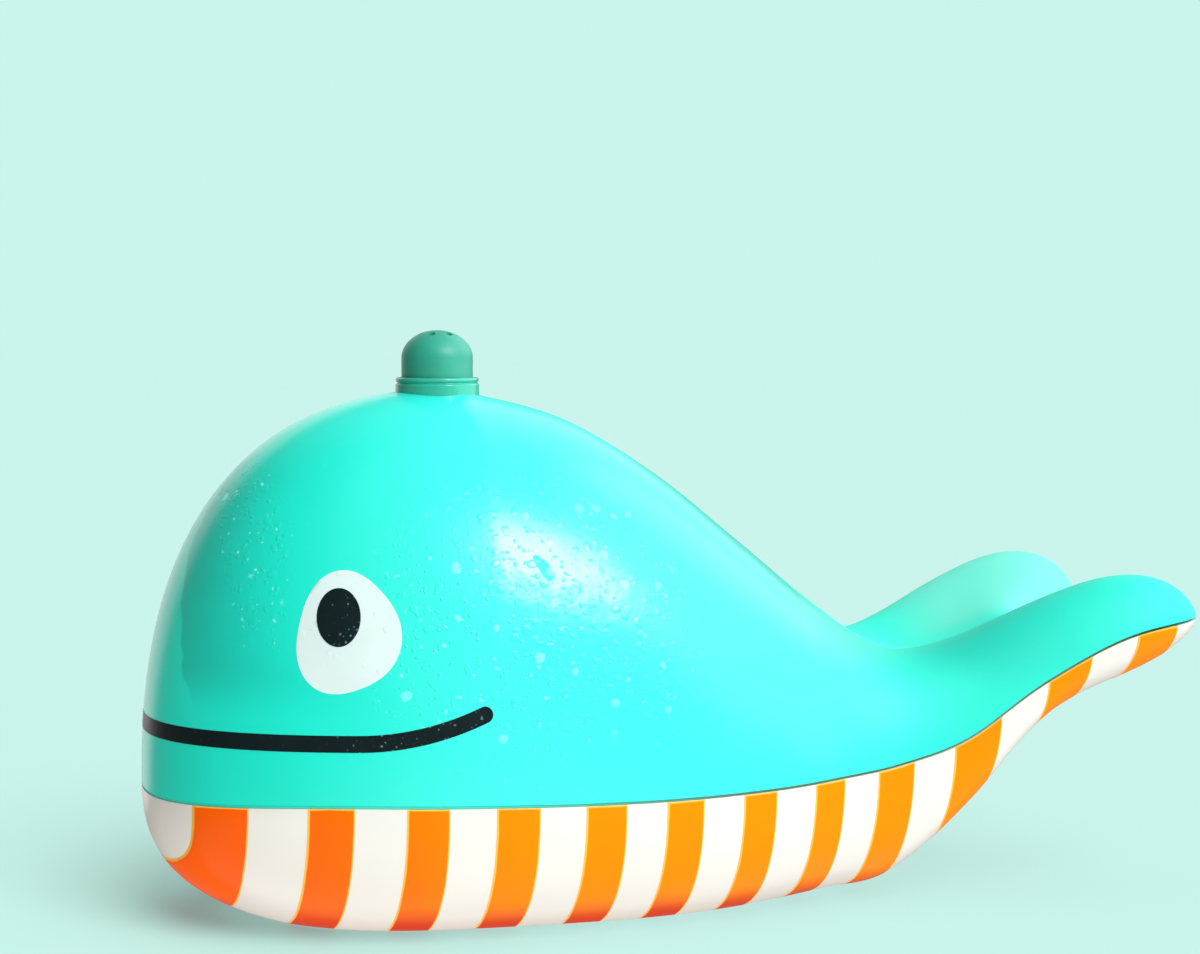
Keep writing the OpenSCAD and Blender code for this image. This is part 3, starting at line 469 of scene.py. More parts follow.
class Pattern(Graph):
    """A Geometry Nodes tree whose inputs are given as {name: (socket type, value)}."""

    def __init__(self, name, inputs):
        self.tree = bpy.data.node_groups.new(name, "GeometryNodeTree")
        ends = self.tree.interface
        for way in ("INPUT", "OUTPUT"):
            ends.new_socket(name="Geometry", in_out=way, socket_type="NodeSocketGeometry")
        self.values = {ends.new_socket(name=key, in_out="INPUT", socket_type=kind).identifier: value
                       for key, (kind, value) in inputs.items()}
        start = self.tree.nodes.new("NodeGroupInput")
        self.inputs = {socket.name: Wire(self.tree, socket) for socket in start.outputs if socket.name}

    def spread(self, points, instance):
        """Real copies of one thing at every point."""
        copies = self.node("GeometryNodeInstanceOnPoints", {"Points": points, "Instance": instance})
        return self.node("GeometryNodeRealizeInstances", {0: copies})

    def apply(self, piece, result):
        """Gives a piece the mesh that the tree makes, with every input set."""
        feed(self.tree, self.tree.nodes.new("NodeGroupOutput").inputs[0], result)
        step = piece.modifiers.new(self.tree.name, "NODES")
        step.node_group = self.tree
        for key, value in self.values.items():
            step[key] = value
        settle(piece)


class Finish(Graph):
    """A procedural material."""

    def __init__(self, name):
        self.material = bpy.data.materials.new(name)
        self.material.use_nodes = True
        self.tree = self.material.node_tree
        self.tree.nodes.clear()

    def point(self):
        """Place on the object, in metres."""
        return self.node("ShaderNodeTexCoord", out="Object")

    def axis(self, point, name):
        return self.node("ShaderNodeSeparateXYZ", {0: point}, name)

    def noise(self, point, scale, detail=2.0):
        sockets = {"Vector": point, "Scale": scale, "Detail": detail}
        return self.node("ShaderNodeTexNoise", sockets, "Fac")

    def ramp(self, value, low, high):
        """0 below low and 1 above high, turning smoothly in between."""
        return self.node("ShaderNodeMapRange", {"Value": value, "From Min": low, "From Max": high},
                         interpolation_type="SMOOTHSTEP")

    def oval(self, x, z, centre, half):
        """Distance from a centre, 1 on the oval that has these half widths."""
        return (((x - centre[0]) / half[0]) ** 2 + ((z - centre[1]) / half[1]) ** 2).root()

    def blend(self, share, first, second):
        """Colour between two."""
        return self.node("ShaderNodeMix", {0: share, 6: first, 7: second}, 2, data_type="RGBA")

    def bump(self, height):
        """Normal of a surface raised by a height in metres."""
        sockets = {"Height": height, "Distance": 1.0, "Strength": 1.0}
        return self.node("ShaderNodeBump", sockets, "Normal")

    def bent(self, point, scale, reach):
        """The point moved about by noise, so that a pattern laid on it turns irregular."""
        sockets = {"Vector": point, "Scale": scale, "Detail": 2.0}
        drift = self.node("ShaderNodeTexNoise", sockets, "Color")
        return self.node("ShaderNodeVectorMath", {0: drift, 1: (reach, reach, reach), 2: point},
                         operation="MULTIPLY_ADD")

    def cells(self, point, size):
        """Distance from the nearest of many scattered centres, and a chance value of that centre."""
        sockets = {"Vector": point, "Scale": 1 / size}
        chance = self.node("ShaderNodeTexVoronoi", sockets, "Color")
        return (self.node("ShaderNodeTexVoronoi", sockets, "Distance"),
                self.node("ShaderNodeSeparateColor", {0: chance}))

    def drops(self, point, size, share):
        """Height in metres of water drops strewn over a share of the surface."""
        away, chance = self.cells(point, size)
        radius = self.ramp(chance, 1 - share, 1.02 - share * 0.4) * 0.42
        return ((radius * radius - away * away).most(0).root()) * (size * 0.55)

    def specks(self, point, size, share):
        """1 on fine dots strewn over a share of the surface, 0 between them."""
        away, chance = self.cells(point, size)
        radius = self.ramp(chance, 1 - share, 1.0) * 0.3
        return self.ramp(radius - away, -0.02, 0.1) * self.ramp(radius, 0.01, 0.06)

    def surface(self, **sockets):
        """Closes the material with one shader."""
        shader = self.node("ShaderNodeBsdfPrincipled",
                           {key.replace("_", " "): value for key, value in sockets.items()})
        out = self.tree.nodes.new("ShaderNodeOutputMaterial")
        self.tree.links.new(shader.socket, out.inputs["Surface"])
        return self.material


def dress(piece, material):
    piece.data.materials.clear()
    piece.data.materials.append(material)


def paint_node(name, material):
    """Gives a carried-over node its material."""
    for slot in NODES[name].material_slots:
        slot.material = material


def hand_over(piece, finish, body, node):
    """Dresses a piece, hangs it on its body and hides the node that it stands for."""
    dress(piece, finish)
    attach(piece, body)
    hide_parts(node)


# What a user may change
def colour_setting(name, description, default):
    return bpy.props.FloatVectorProperty(name=name, description=description, subtype="COLOR", size=3,
                                         min=0, max=1, default=default)


def share_setting(name, description, default, top=1.0):
    return bpy.props.FloatProperty(name=name, description=description, min=0, max=top, default=default)


def length_setting(name, description, default):
    return bpy.props.FloatProperty(name=name, description=description, min=0, unit="LENGTH",
                                   precision=5, default=default)


class ShellSettings(bpy.types.PropertyGroup):
    """Colours and wetness of the two shells."""
    upper: colour_setting("Upper shell", "Colour of the upper shell", (0.004, 0.7, 0.54))
    upper_deep: colour_setting("Upper shell, deep", "Colour of its darker clouds", (0.003, 0.65, 0.495))
    # Painted sheen: a whiter turquoise on the mid flank that stands in for reflected light
    upper_painted_sheen: colour_setting("Upper shell, flank", "Colour of its lit flank", (0.03, 0.7, 0.62))
    lower: colour_setting("Lower shell", "Colour of the lower shell", (0.705, 0.675, 0.626))
    # Painted bounce light: warmer cream near the floor, standing in for light thrown back from the
    # orange stripes
    lower_painted_bounce: colour_setting("Lower shell, blush", "Colour near the floor", (0.78, 0.68, 0.61))
    gloss: share_setting("Roughness", "Roughness of the moulded plastic", 0.24)
    drop_size: length_setting("Drop size", "Spacing of the water drops", 0.0021)
    drop_share: share_setting("Drops", "Share of the wet patch that carries drops", 0.55)


class PrintSettings(bpy.types.PropertyGroup):
    """Inks of the eyes, mouth and stripes, and the stripes' painted shade near the floor."""
    stripe_front: colour_setting("Stripe, front", "Orange at the bow", (0.92, 0.105, 0.001))
    stripe_back: colour_setting("Stripe, back", "Orange at the tail", (0.88, 0.228, 0.001))
    # Painted shade: a darker red orange near the floor, where less light reaches
    stripe_painted_shade: colour_setting("Stripe, low", "Orange near the floor", (0.62, 0.03, 0.001))
    stripe_edge: colour_setting("Stripe edge", "Thin coat that shows at an edge", (0.9, 0.46, 0.06))
    white: colour_setting("Eye white", "White of the eyes", (0.6, 0.685, 0.67))
    black: colour_setting("Black", "Pupils and mouth line", (0.002, 0.006, 0.007))
    film: length_setting("Ink film", "How far an ink stands off the shell", 0.00006)


class ButtonSettings(bpy.types.PropertyGroup):
    """Blowhole button."""
    colour: colour_setting("Button", "Colour of the button", (0.02, 0.32, 0.22))
    collar: colour_setting("Collar", "Colour of the collar ring", (0.03, 0.42, 0.3))
    hole: length_setting("Foam hole", "Diameter of a foam hole", 0.0013)
    ring: length_setting("Hole ring", "Radius of the ring of holes", 0.0032)
    count: bpy.props.IntProperty(name="Holes", description="Foam holes round the middle one",
                                 min=3, max=12, default=6)


class StageSettings(bpy.types.PropertyGroup):
    """Floor, lights and camera."""
    floor: colour_setting("Floor", "Colour of the floor and the backdrop", (0.591, 0.906, 0.839))
    paper: share_setting("Paper", "Share of the floor's colour that takes light and shadow", 0.16)
    glow: share_setting("Glow", "Strength of the light that the floor gives off itself", 0.33, 4)
    sky: share_setting("Sky", "Strength of the even light all round", 0.243, 4)
    floor_above: share_setting("Floor from above", "Light for the floor alone, from above", 5.9, 100)
    floor_front: share_setting("Floor from front", "Light for the floor alone, from the front", 9, 100)
    key: share_setting("Key", "Light of the soft key on a surface that faces it", 2.25, 100)
    veil: share_setting("Veil", "Light of the wide lamp round the key", 1.25, 100)
    side: share_setting("Side", "Light from the tail's side", 2.1, 100)
    back: share_setting("Back", "Light from above and behind", 1.85, 100)
    bounce: share_setting("Bounce", "Light thrown back from the table below", 1.85, 100)
    rim: share_setting("Rim", "Gloss along the nose's edge", 0.48, 100)
    sheen: share_setting("Sheen", "Gloss on the flukes and the back", 0.8, 100)
    view: bpy.props.FloatProperty(name="View angle", description="Width of the view", subtype="ANGLE",
                                  default=math.radians(26))


class Maker:
    """Shared parts of the operators."""
    bl_options = {"REGISTER", "UNDO"}

    def execute(self, context):
        self.make(context.scene)
        return {"FINISHED"}


class WHALE_OT_upper_shell(Maker, bpy.types.Operator):
    """Smooth upper shell with its deck, screw bosses and blowhole"""
    bl_idname = "whale.upper_shell"
    bl_label = "Upper shell"

    def make(self, scene):
        s = stations(ROWS)[:, None]
        a = even_angles(BACK_COLUMNS, False)[None, :]
        lift = SEAM_GAP / 2
        outer, inner = Section(s).back(a, lift), Section(s, WALL).back(a, lift)
        shell = between("hull_back", outer, inner, pole=True)
        deck_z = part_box("blowhole_collar")[0].z / MM
        mid = Section(s, WALL / 2)
        core = mid.back(a, lift)
        under = pack(core[..., 0], core[..., 1], mid.sheet(a) - 1)
        solid = between("core", core, under, pole=True)
        posts = [post("deck", DECK_R, deck_z, deck_z + DECK_T, BLOW_X, 0, 96)]
        posts += [post("boss", BOSS_R, seam_height(x) + lift, BODY_H, x, y) for x, y in SCREW_PLACES]
        bosses = merged(posts, "bosses")
        combine(bosses, "INTERSECT", solid)
        combine(shell, "UNION", bosses)
        foot, ledge, top = deck_z - 1, deck_z + CAP_BORE_T, deck_z + 15
        holes = [lathe("bore", [(0, foot), (CAP_BORE_R, foot), (CAP_BORE_R, ledge),
                                (BLOW_BORE_R, ledge), (BLOW_BORE_R, top), (0, top)], BLOW_X)]
        for t in (math.radians(60), math.radians(180), math.radians(300)):
            x, y = BLOW_X + CAP_SCREW_RING * math.cos(t), CAP_SCREW_RING * math.sin(t)
            holes.append(post("hole", CAP_SCREW_R, foot, deck_z + 5, x, y, 24))
        holes += [post("hole", PILOT_R, seam_height(x) - 1, seam_height(x) + 10, x, y, 24)
                  for x, y in SCREW_PLACES]
        combine(shell, "DIFFERENCE", merged(holes, "holes"))
        shade(shell)
        hand_over(shell, shell_finish(scene.whale_shell), "hull", "upper_shell")


class WHALE_OT_lower_shell(Maker, bpy.types.Operator):
    """Smooth lower shell with its screw towers, plug seat and weight pocket"""
    bl_idname = "whale.lower_shell"
    bl_label = "Lower shell"

    def make(self, scene):
        s = stations(ROWS)[:, None]
        a = even_angles(BELLY_COLUMNS, True)[None, :]
        lift = SEAM_GAP / 2
        outer, inner = Section(s).belly(a, lift), Section(s, WALL).belly(a, lift)
        outer[..., 2] = np.maximum(outer[..., 2], 0)
        shell = between("hull_belly", outer, inner, pole=True, flip=True)
        mid = Section(s, WALL / 2)
        core = mid.belly(a, lift)
        above = pack(core[..., 0], core[..., 1], mid.sheet(a) + 1)
        solid = between("core", core, above, pole=True, flip=True)
        low, ledge = -3.0, PLUG_HEAD_T + PLUG_ROOM
        notch_x, notch_r = PLUG_X + PLUG_HEAD_R, PLUG_HEAD_R / 3
        seat = post("seat", PLUG_HEAD_R + WALL, low, PLUG_SEAT_TOP, PLUG_X, 0, 96)
        combine(seat, "UNION", post("notch", notch_r + WALL, low, ledge + WALL, notch_x, 0))
        half_l, half_w = WEIGHT_HALF_L + WEIGHT_WALL, WEIGHT_HALF_W + WEIGHT_WALL
        box = slab("pocket", WEIGHT_X - half_l, WEIGHT_X + half_l, half_w, low, WEIGHT_POCKET_TOP)
        combine(box, "DIFFERENCE", slab("well", WEIGHT_X - WEIGHT_HALF_L, WEIGHT_X + WEIGHT_HALF_L,
                                        WEIGHT_HALF_W, WEIGHT_FLOOR, 9))
        towers = [post("tower", TOWER_R, low, seam_height(x) + lift - 0.05, x, y)
                  for x, y in SCREW_PLACES]
        inside = merged([seat, box], "inside")
        for tower in towers:
            combine(inside, "UNION", tower)
        combine(inside, "INTERSECT", solid)
        combine(shell, "UNION", inside)
        head_r, stem_r = PLUG_HEAD_R + PLUG_ROOM, PLUG_STEM_R + 0.05
        cut = lathe("cut", [(0, -1), (head_r, -1), (head_r, ledge), (stem_r, ledge), (stem_r, 8),
                            (0, 8)], PLUG_X)
        combine(cut, "UNION", post("notch", notch_r, -1, ledge, notch_x, 0))
        holes = [cut]
        for x, y in SCREW_PLACES:
            foot = seam_height(x) - SCREW_DROP
            top = foot + 20
            holes.append(lathe("hole", [(0, -5), (SCREW_HEAD_R, -5), (SCREW_HEAD_R, foot),
                                        (SCREW_HOLE_R, foot), (SCREW_HOLE_R, top), (0, top)], x, y, 48))
        combine(shell, "DIFFERENCE", merged(holes, "holes"))
        shade(shell)
        hand_over(shell, belly_finish(scene.whale_shell), "hull", "lower_shell")


class WHALE_OT_gasket(Maker, bpy.types.Operator):
    """Soft ring that fills the line between the shells"""
    bl_idname = "whale.gasket"
    bl_label = "Gasket"

    def make(self, scene):
        s = stations(240)
        tail = np.linspace(math.pi / 2, -math.pi / 2, 120)[1:-1]
        loops = []
        for deep in (False, True):
            rims = []
            for c in (Section(s), Section(s, WALL)):
                near, far = c.back(np.array(-math.pi / 2), 0), c.back(np.array(math.pi / 2), 0)
                end = Section(np.array(1.0), WALL if rims else 0.0)
                edge = end.back(tail, 0)
                edge[:, 2] = end.sheet(tail)
                rims.append(np.concatenate([near[:0:-1], far, edge]))
            inset = GASKET_DEPTH if deep else np.interp(rims[0][:, :1], GASKET_XS, GASKET_INSETS)
            loops.append(rims[0] * (1 - inset / WALL) + rims[1] * inset / WALL)
        rise = np.array((0, 0, SEAM_GAP / 2 - 0.05))
        ring = [loops[0] - rise, loops[0] + rise, loops[1] + rise, loops[1] - rise]
        count = len(ring[0])
        points = np.concatenate(ring)
        faces = []
        for i in range(count):
            n = (i + 1) % count
            for k in range(4):
                m = (k + 1) % 4
                faces.append([k * count + i, k * count + n, m * count + n, m * count + i])
        piece = new_piece("hull_gasket", points, faces)
        shade(piece)
        hand_over(piece, gasket_finish(), "hull", "seam_gasket")


def egg_skin(name, x, z, width, height, lean, egg, side, film):
    """Thin closed skin of an egg-shaped print on the side of the face."""
    t = np.linspace(0, 2 * math.pi, 128, endpoint=False)[None, :]
    ring = np.linspace(0, 1, 22)[:, None]
    m = (1 + egg * np.cos(3 * t)) * ring
    u, v = width / 2 * np.cos(t) * m, height / 2 * np.sin(t) * m
    c, s = math.cos(math.radians(lean)), math.sin(math.radians(lean))
    px, pz = x + u * c + v * s, z - u * s + v * c
    return between(name, face_at(px, pz, side, film), face_at(px, pz, side, PRINT_ROOT),
                   pole=True, closed=True, flip=side > 0)


class WHALE_OT_eyes(Maker, bpy.types.Operator):
    """Printed whites and pupils of both eyes"""
    bl_idname = "whale.eyes"
    bl_label = "Eyes"

    def make(self, scene):
        film = scene.whale_print.film / MM
        parts = (("eye_white", "eye_whites", EYE_SHARE, EYE_Z, EYE_W, EYE_H, EYE_LEAN, EYE_EGG, 1,
                  white_finish(scene.whale_print), "white_print"),
                 ("eye_pupil", "eye_pupils", PUPIL_SHARE, PUPIL_Z, PUPIL_W, PUPIL_H, PUPIL_LEAN, 0, 2,
                  black_finish(scene.whale_print), "black_print"))
        for name, node, share, z, w, h, lean, egg, layer, finish, slot in parts:
            skins = [egg_skin(name, NOSE_X + share * BODY_L, z, w, h, lean, egg, side, film * layer)
                     for side in (-1, 1)]
            piece = merged(skins, name)
            shade(piece, 60)
            hand_over(piece, finish, "hull", node)


def mouth_front(z):
    """Place of the nose at height z, on the midline."""
    seam = seam_height(NOSE_X)
    q = np.clip((z - seam) / (BODY_H - seam), 0, 1)
    return NOSE_X + HULL_RUN * CROWN_SHARE * (1 - (1 - q**CROWN_POWER) ** (1 / CROWN_POWER))


class WHALE_OT_mouth(Maker, bpy.types.Operator):
    """Printed smile round the nose"""
    bl_idname = "whale.mouth"
    bl_label = "Mouth"

    def make(self, scene):
        film = scene.whale_print.film / MM
        x_end = NOSE_X + MOUTH_END_SHARE * BODY_L
        x_turn = NOSE_X + MOUTH_TURN_SHARE * BODY_L
        t = np.sin(np.linspace(-math.pi / 2, math.pi / 2, 481))

        def run_of(height, lift):
            front = mouth_front(height) - lift
            return front + (x_end - front) * t**2

        x = run_of(MOUTH_Z, 0.0)
        z = MOUTH_Z + MOUTH_RISE * (np.maximum(0, (x - x_turn) / (x_end - x_turn))) ** 2
        line = face_at(x, z, np.sign(t), 0)
        step = np.gradient(line, axis=0)
        step /= np.linalg.norm(step, axis=1)[:, None]
        run = run_along(line)
        radius = MOUTH_T / 2
        near_end = np.minimum(run, run[-1] - run)
        half = radius * np.sqrt(np.clip(1 - (1 - np.minimum(near_end / radius, 1)) ** 2, 0.0001, 1))
        lean = np.arctan(step[:, 2] / np.maximum(np.hypot(step[:, 0], step[:, 1]), 1e-6))
        layers = []
        for lift in (film, PRINT_ROOT):
            rows = []
            for share in np.linspace(-1, 1, 9):
                height = z + np.cos(lean) * share * half
                back = np.sin(lean) * share * half * step[:, 0]
                rows.append(face_at(run_of(height, lift) - back, height, np.sign(t), lift))
            layers.append(np.array(rows))
        piece = between("mouth_line", layers[0], layers[1])
        shade(piece, 60)
        hand_over(piece, black_finish(scene.whale_print), "hull", "mouth_line")


def belly_at(x, a, lift):
    """Points of the belly at x on the line of angle a, found by halving the station share."""
    x, a = np.broadcast_arrays(x, a)
    low, high = np.zeros(x.shape), np.ones(x.shape)
    for _ in range(40):
        mid = (low + high) / 2
        behind = Section(mid, -lift).belly(a, SEAM_GAP / 2)[..., 0] < x
        low, high = np.where(behind, mid, low), np.where(behind, high, mid)
    return Section(low, -lift).belly(a, SEAM_GAP / 2)


class WHALE_OT_stripes(Maker, bpy.types.Operator):
    """Printed bands round the belly"""
    bl_idname = "whale.stripes"
    bl_label = "Stripes"

    def make(self, scene):
        film = scene.whale_print.film / MM
        skins = []
        for start, width in STRIPE_SHARES:
            x0, x1 = NOSE_X + start * BODY_L, NOSE_X + (start + width) * BODY_L
            x = np.linspace(x0, x1, 13)
            fine = np.linspace(SEAM_ANGLE, 0, 700)
            floor = []
            for place in x:
                z = belly_at(np.full(fine.shape, place), fine, 0)[:, 2]
                under = np.nonzero(z < 0.3)[0]
                floor.append(fine[under[0]] if len(under) else 0.0)
            hook = 0 if skins else STRIPE_HOOK
            for side in (-1, 1) if any(floor) else (0,):
                skins.append(self.band(x, np.array(floor), side, film, hook))
        piece = merged(skins, "belly_stripes")
        shade(piece, 60)
        hand_over(piece, stripe_finish(scene.whale_print), "hull", "belly_stripes")

    def band(self, x, floor, side, film, hook):
        """One stripe: side -1 or 1 for one flank, 0 for all the way round, its front edge hooked."""
        even = even_angles(BELLY_COLUMNS, True)[:BELLY_COLUMNS // 2 + 1]
        spread = np.interp(np.linspace(0, 1, 71), np.linspace(0, 1, len(even)),
                           (even + math.pi / 2) / (math.pi / 2))
        half = SEAM_ANGLE + spread[:, None] * (floor - SEAM_ANGLE)[None, :]
        angles = np.concatenate([half, -half[-2::-1]]) if side == 0 else half * -side
        down = ease((1 - np.abs(angles) / (math.pi / 2) - 0.3) / 0.6)
        places = x[None, :] - hook * down * (x[-1] - x)[None, :] / (x[-1] - x[0])
        outer, inner = belly_at(places, angles, film), belly_at(places, angles, PRINT_ROOT)
        skin = between("band", outer, inner, flip=side != 1)
        run = run_along(outer)
        if side == 0:
            run = np.minimum(run, run[-1:] - run)
        across = np.broadcast_to((x - x[0])[None, :], run.shape)
        rest = np.broadcast_to((x[-1] - x)[None, :], run.shape)
        for name, pair in (("edges", (across, rest)), ("seam", (run, run))):
            values = np.stack([p.ravel() for p in pair], axis=1)
            values = np.concatenate([values, values])
            layer = skin.data.uv_layers.new(name=name)
            corners = np.zeros(len(skin.data.loops), np.int32)
            skin.data.loops.foreach_get("vertex_index", corners)
            layer.data.foreach_set("uv", values[corners].astype(np.float32).ravel())
        return skin


class WHALE_OT_collar(Maker, bpy.types.Operator):
    """Stepped collar ring round the button"""
    bl_idname = "whale.collar"
    bl_label = "Collar"

    def make(self, scene):
        near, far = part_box("blowhole_collar")
        low, high, flange = near.z / MM, far.z / MM, (far.x - near.x) / 2 / MM
        bore, wall, groove, lip, flange_top = 6.95, 7.8, 7.45, 7.75, low + 1.6
        outline = rounded([(bore, low, 0.2), (flange, low, 0.2), (flange, flange_top, 0.3),
                           (wall, flange_top, 0.2), (wall, high - 1.25, 0.2),
                           (groove, high - 1.05, 0.1), (groove, high - 0.9, 0.1),
                           (lip, high - 0.7, 0.25), (lip, high, 0.5), (bore, high, 0.35)])
        ring = lathe("blowhole_ring", outline, BLOW_X, 0, 128)
        shade(ring, 40)
        finish = plastic_finish("collar plastic", scene.whale_button.collar, 0.19, 0.00002)
        hand_over(ring, finish, "hull", "blowhole_collar")


class WHALE_OT_button(Maker, bpy.types.Operator):
    """Domed button with its foam holes"""
    bl_idname = "whale.button"
    bl_label = "Button"

    def make(self, scene):
        low, high = (corner.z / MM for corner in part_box("pump_button"))
        radius, rise, wall, tip = 6.65, 5.2, 1.4, 3.0
        head = high - rise
        dome = [(radius * math.cos(t), head + rise * math.sin(t))
                for t in np.linspace(0, math.pi / 2, 33)]
        dome[-1] = (0, high)
        inside = [(0, high - tip), (radius - 2 * wall, high - tip), (radius - 2 * wall, head),
                  (radius - wall, head), (radius - wall, low)]
        skirt = [(radius - 0.15, low), (radius, low + 0.15)]
        button = lathe("button_dome", skirt + dome + inside, BLOW_X, 0, 128)
        combine(button, "DIFFERENCE", spout_pins(scene.whale_button, head - 1, high + 1))
        shade(button, 40)
        finish = plastic_finish("button plastic", scene.whale_button.colour, 0.42, 0.00002)
        hand_over(button, finish, "button", "pump_button")


def spout_pins(settings, low, high):
    """Pins in the pattern of the foam holes: one in the middle and a ring round it."""
    g = Pattern("foam holes", {
        "Count": ("NodeSocketInt", settings.count), "Ring": ("NodeSocketFloat", settings.ring),
        "Hole": ("NodeSocketFloat", settings.hole), "Depth": ("NodeSocketFloat", (high - low) * MM)})
    circle = g.node("GeometryNodeMeshCircle", {"Vertices": g.inputs["Count"],
                                               "Radius": g.inputs["Ring"]})
    middle = g.node("GeometryNodeMeshLine", {"Count": 1})
    both = g.tree.nodes.new("GeometryNodeJoinGeometry")
    for part in (circle, middle):
        feed(g.tree, both.inputs[0], part)
    pin = g.node("GeometryNodeMeshCylinder", {"Vertices": 32, "Radius": g.inputs["Hole"] * 0.5,
                                              "Depth": g.inputs["Depth"]})
    pins = new_piece("pins", [(0, 0, 0)], [])
    g.apply(pins, g.spread(Wire(g.tree, both.outputs[0]), pin))
    for vertex in pins.data.vertices:
        vertex.co += Vector((BLOW_X * MM, 0, (low + high) / 2 * MM))
    return pins


class WHALE_OT_plug(Maker, bpy.types.Operator):
    """Filler plug in the belly"""
    bl_idname = "whale.plug"
    bl_label = "Filler plug"

    def make(self, scene):
        foot, ledge, end = PLUG_ROOM, PLUG_ROOM + PLUG_HEAD_T, PLUG_ROOM + PLUG_HEAD_T + 5.0
        outline = rounded([(0, foot + 0.35, 0), (3.4, foot + 0.35, 0.3), (4.0, foot, 0.3),
                           (PLUG_HEAD_R, foot, 0.45), (PLUG_HEAD_R, ledge, 0.3),
                           (PLUG_STEM_R, ledge, 0.15), (PLUG_STEM_R, end, 0.7), (0, end, 0)])
        plug = lathe("belly_plug", outline, PLUG_X, 0, 96)
        shade(plug, 40)
        hand_over(plug, plastic_finish("plug silicone", (0.02, 0.5, 0.4), 0.5, 0.00003), "plug",
                  "filler_plug")


class WHALE_OT_screws(Maker, bpy.types.Operator):
    """Cross-headed screws that hold the shells together"""
    bl_idname = "whale.screws"
    bl_label = "Screws"

    def make(self, scene):
        head_r, head_t, shank_r, length = 2.85, 2.25, 1.5, 20
        outline = rounded([(0, -head_t, 0), (head_r, -head_t, 0.8), (head_r, 0, 0.15), (shank_r, 0, 0),
                           (shank_r, length - 1.2, 0), (0.5, length, 0), (0, length, 0)])
        screw = lathe("screw", outline, 0, 0, 48)
        for x, y in ((1.9, 0.4), (0.4, 1.9)):
            combine(screw, "DIFFERENCE", slab("arm", -x, x, y, -3, -1.1))
        shade(screw, 35)
        steel = steel_finish()
        dress(screw, steel)
        heads = [(x, y, seam_height(x) - SCREW_DROP) for x, y in SCREW_PLACES]
        places = new_piece("screw_set", heads, [])
        g = Pattern("screw set", {"Screw": ("NodeSocketObject", screw),
                                  "Finish": ("NodeSocketMaterial", steel)})
        item = g.node("GeometryNodeObjectInfo", {"Object": g.inputs["Screw"]}, "Geometry")
        screws = g.spread(g.inputs["Geometry"], item)
        g.apply(places, g.node("GeometryNodeSetMaterial", {"Geometry": screws,
                                                           "Material": g.inputs["Finish"]}))
        bpy.data.objects.remove(screw)
        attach(places, "hull")
        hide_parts("hull_screws")


class WHALE_OT_inner_parts(Maker, bpy.types.Operator):
    """Finishes of the pump, squeaker and weight inside the hull"""
    bl_idname = "whale.inner_parts"
    bl_label = "Inner parts"

    def make(self, scene):
        white = plastic_finish("white plastic", (0.78, 0.79, 0.77), 0.4, 0.00003)
        clear = plastic_finish("pump plastic", (0.5, 0.6, 0.65), 0.3, 0.00002)
        rubber = plastic_finish("seal rubber", (0.02, 0.02, 0.022), 0.6, 0.00005)
        film = plastic_finish("reed film", (0.7, 0.45, 0.06), 0.35, 0.00001)
        steel = bpy.data.materials["bright steel"]
        finishes = {
            "foam_cartridge": white, "piston_stem": white, "air_piston": white, "pump_cap": white,
            "ball_cage": white, "squeaker_housing": white, "squeaker_cap": white,
            "pump_cylinder": clear, "dip_tube": clear, "liquid_piston": rubber, "deck_seal": rubber,
            "squeaker_reed": film, "foam_screens": steel, "return_spring": steel,
            "deck_screws": steel, "inlet_ball": steel, "keel_weight": steel,
        }
        for name, finish in finishes.items():
            paint_node(name, finish)
        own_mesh(NODES["return_spring"])


# Finishes
# Colours painted on the shell: painted shade on the near side of the head, painted sheen on the far
# fluke and painted glints on water drops
SHADE_PAINT, SHEEN_PAINT, GLINT_PAINT = (0.002, 0.36, 0.28), (0.12, 0.6, 0.48), (0.35, 0.95, 0.9)
GASKET_FRONT, GASKET_BACK = (0.02, 0.6, 0.46), (0.2, 0.22, 0.1)


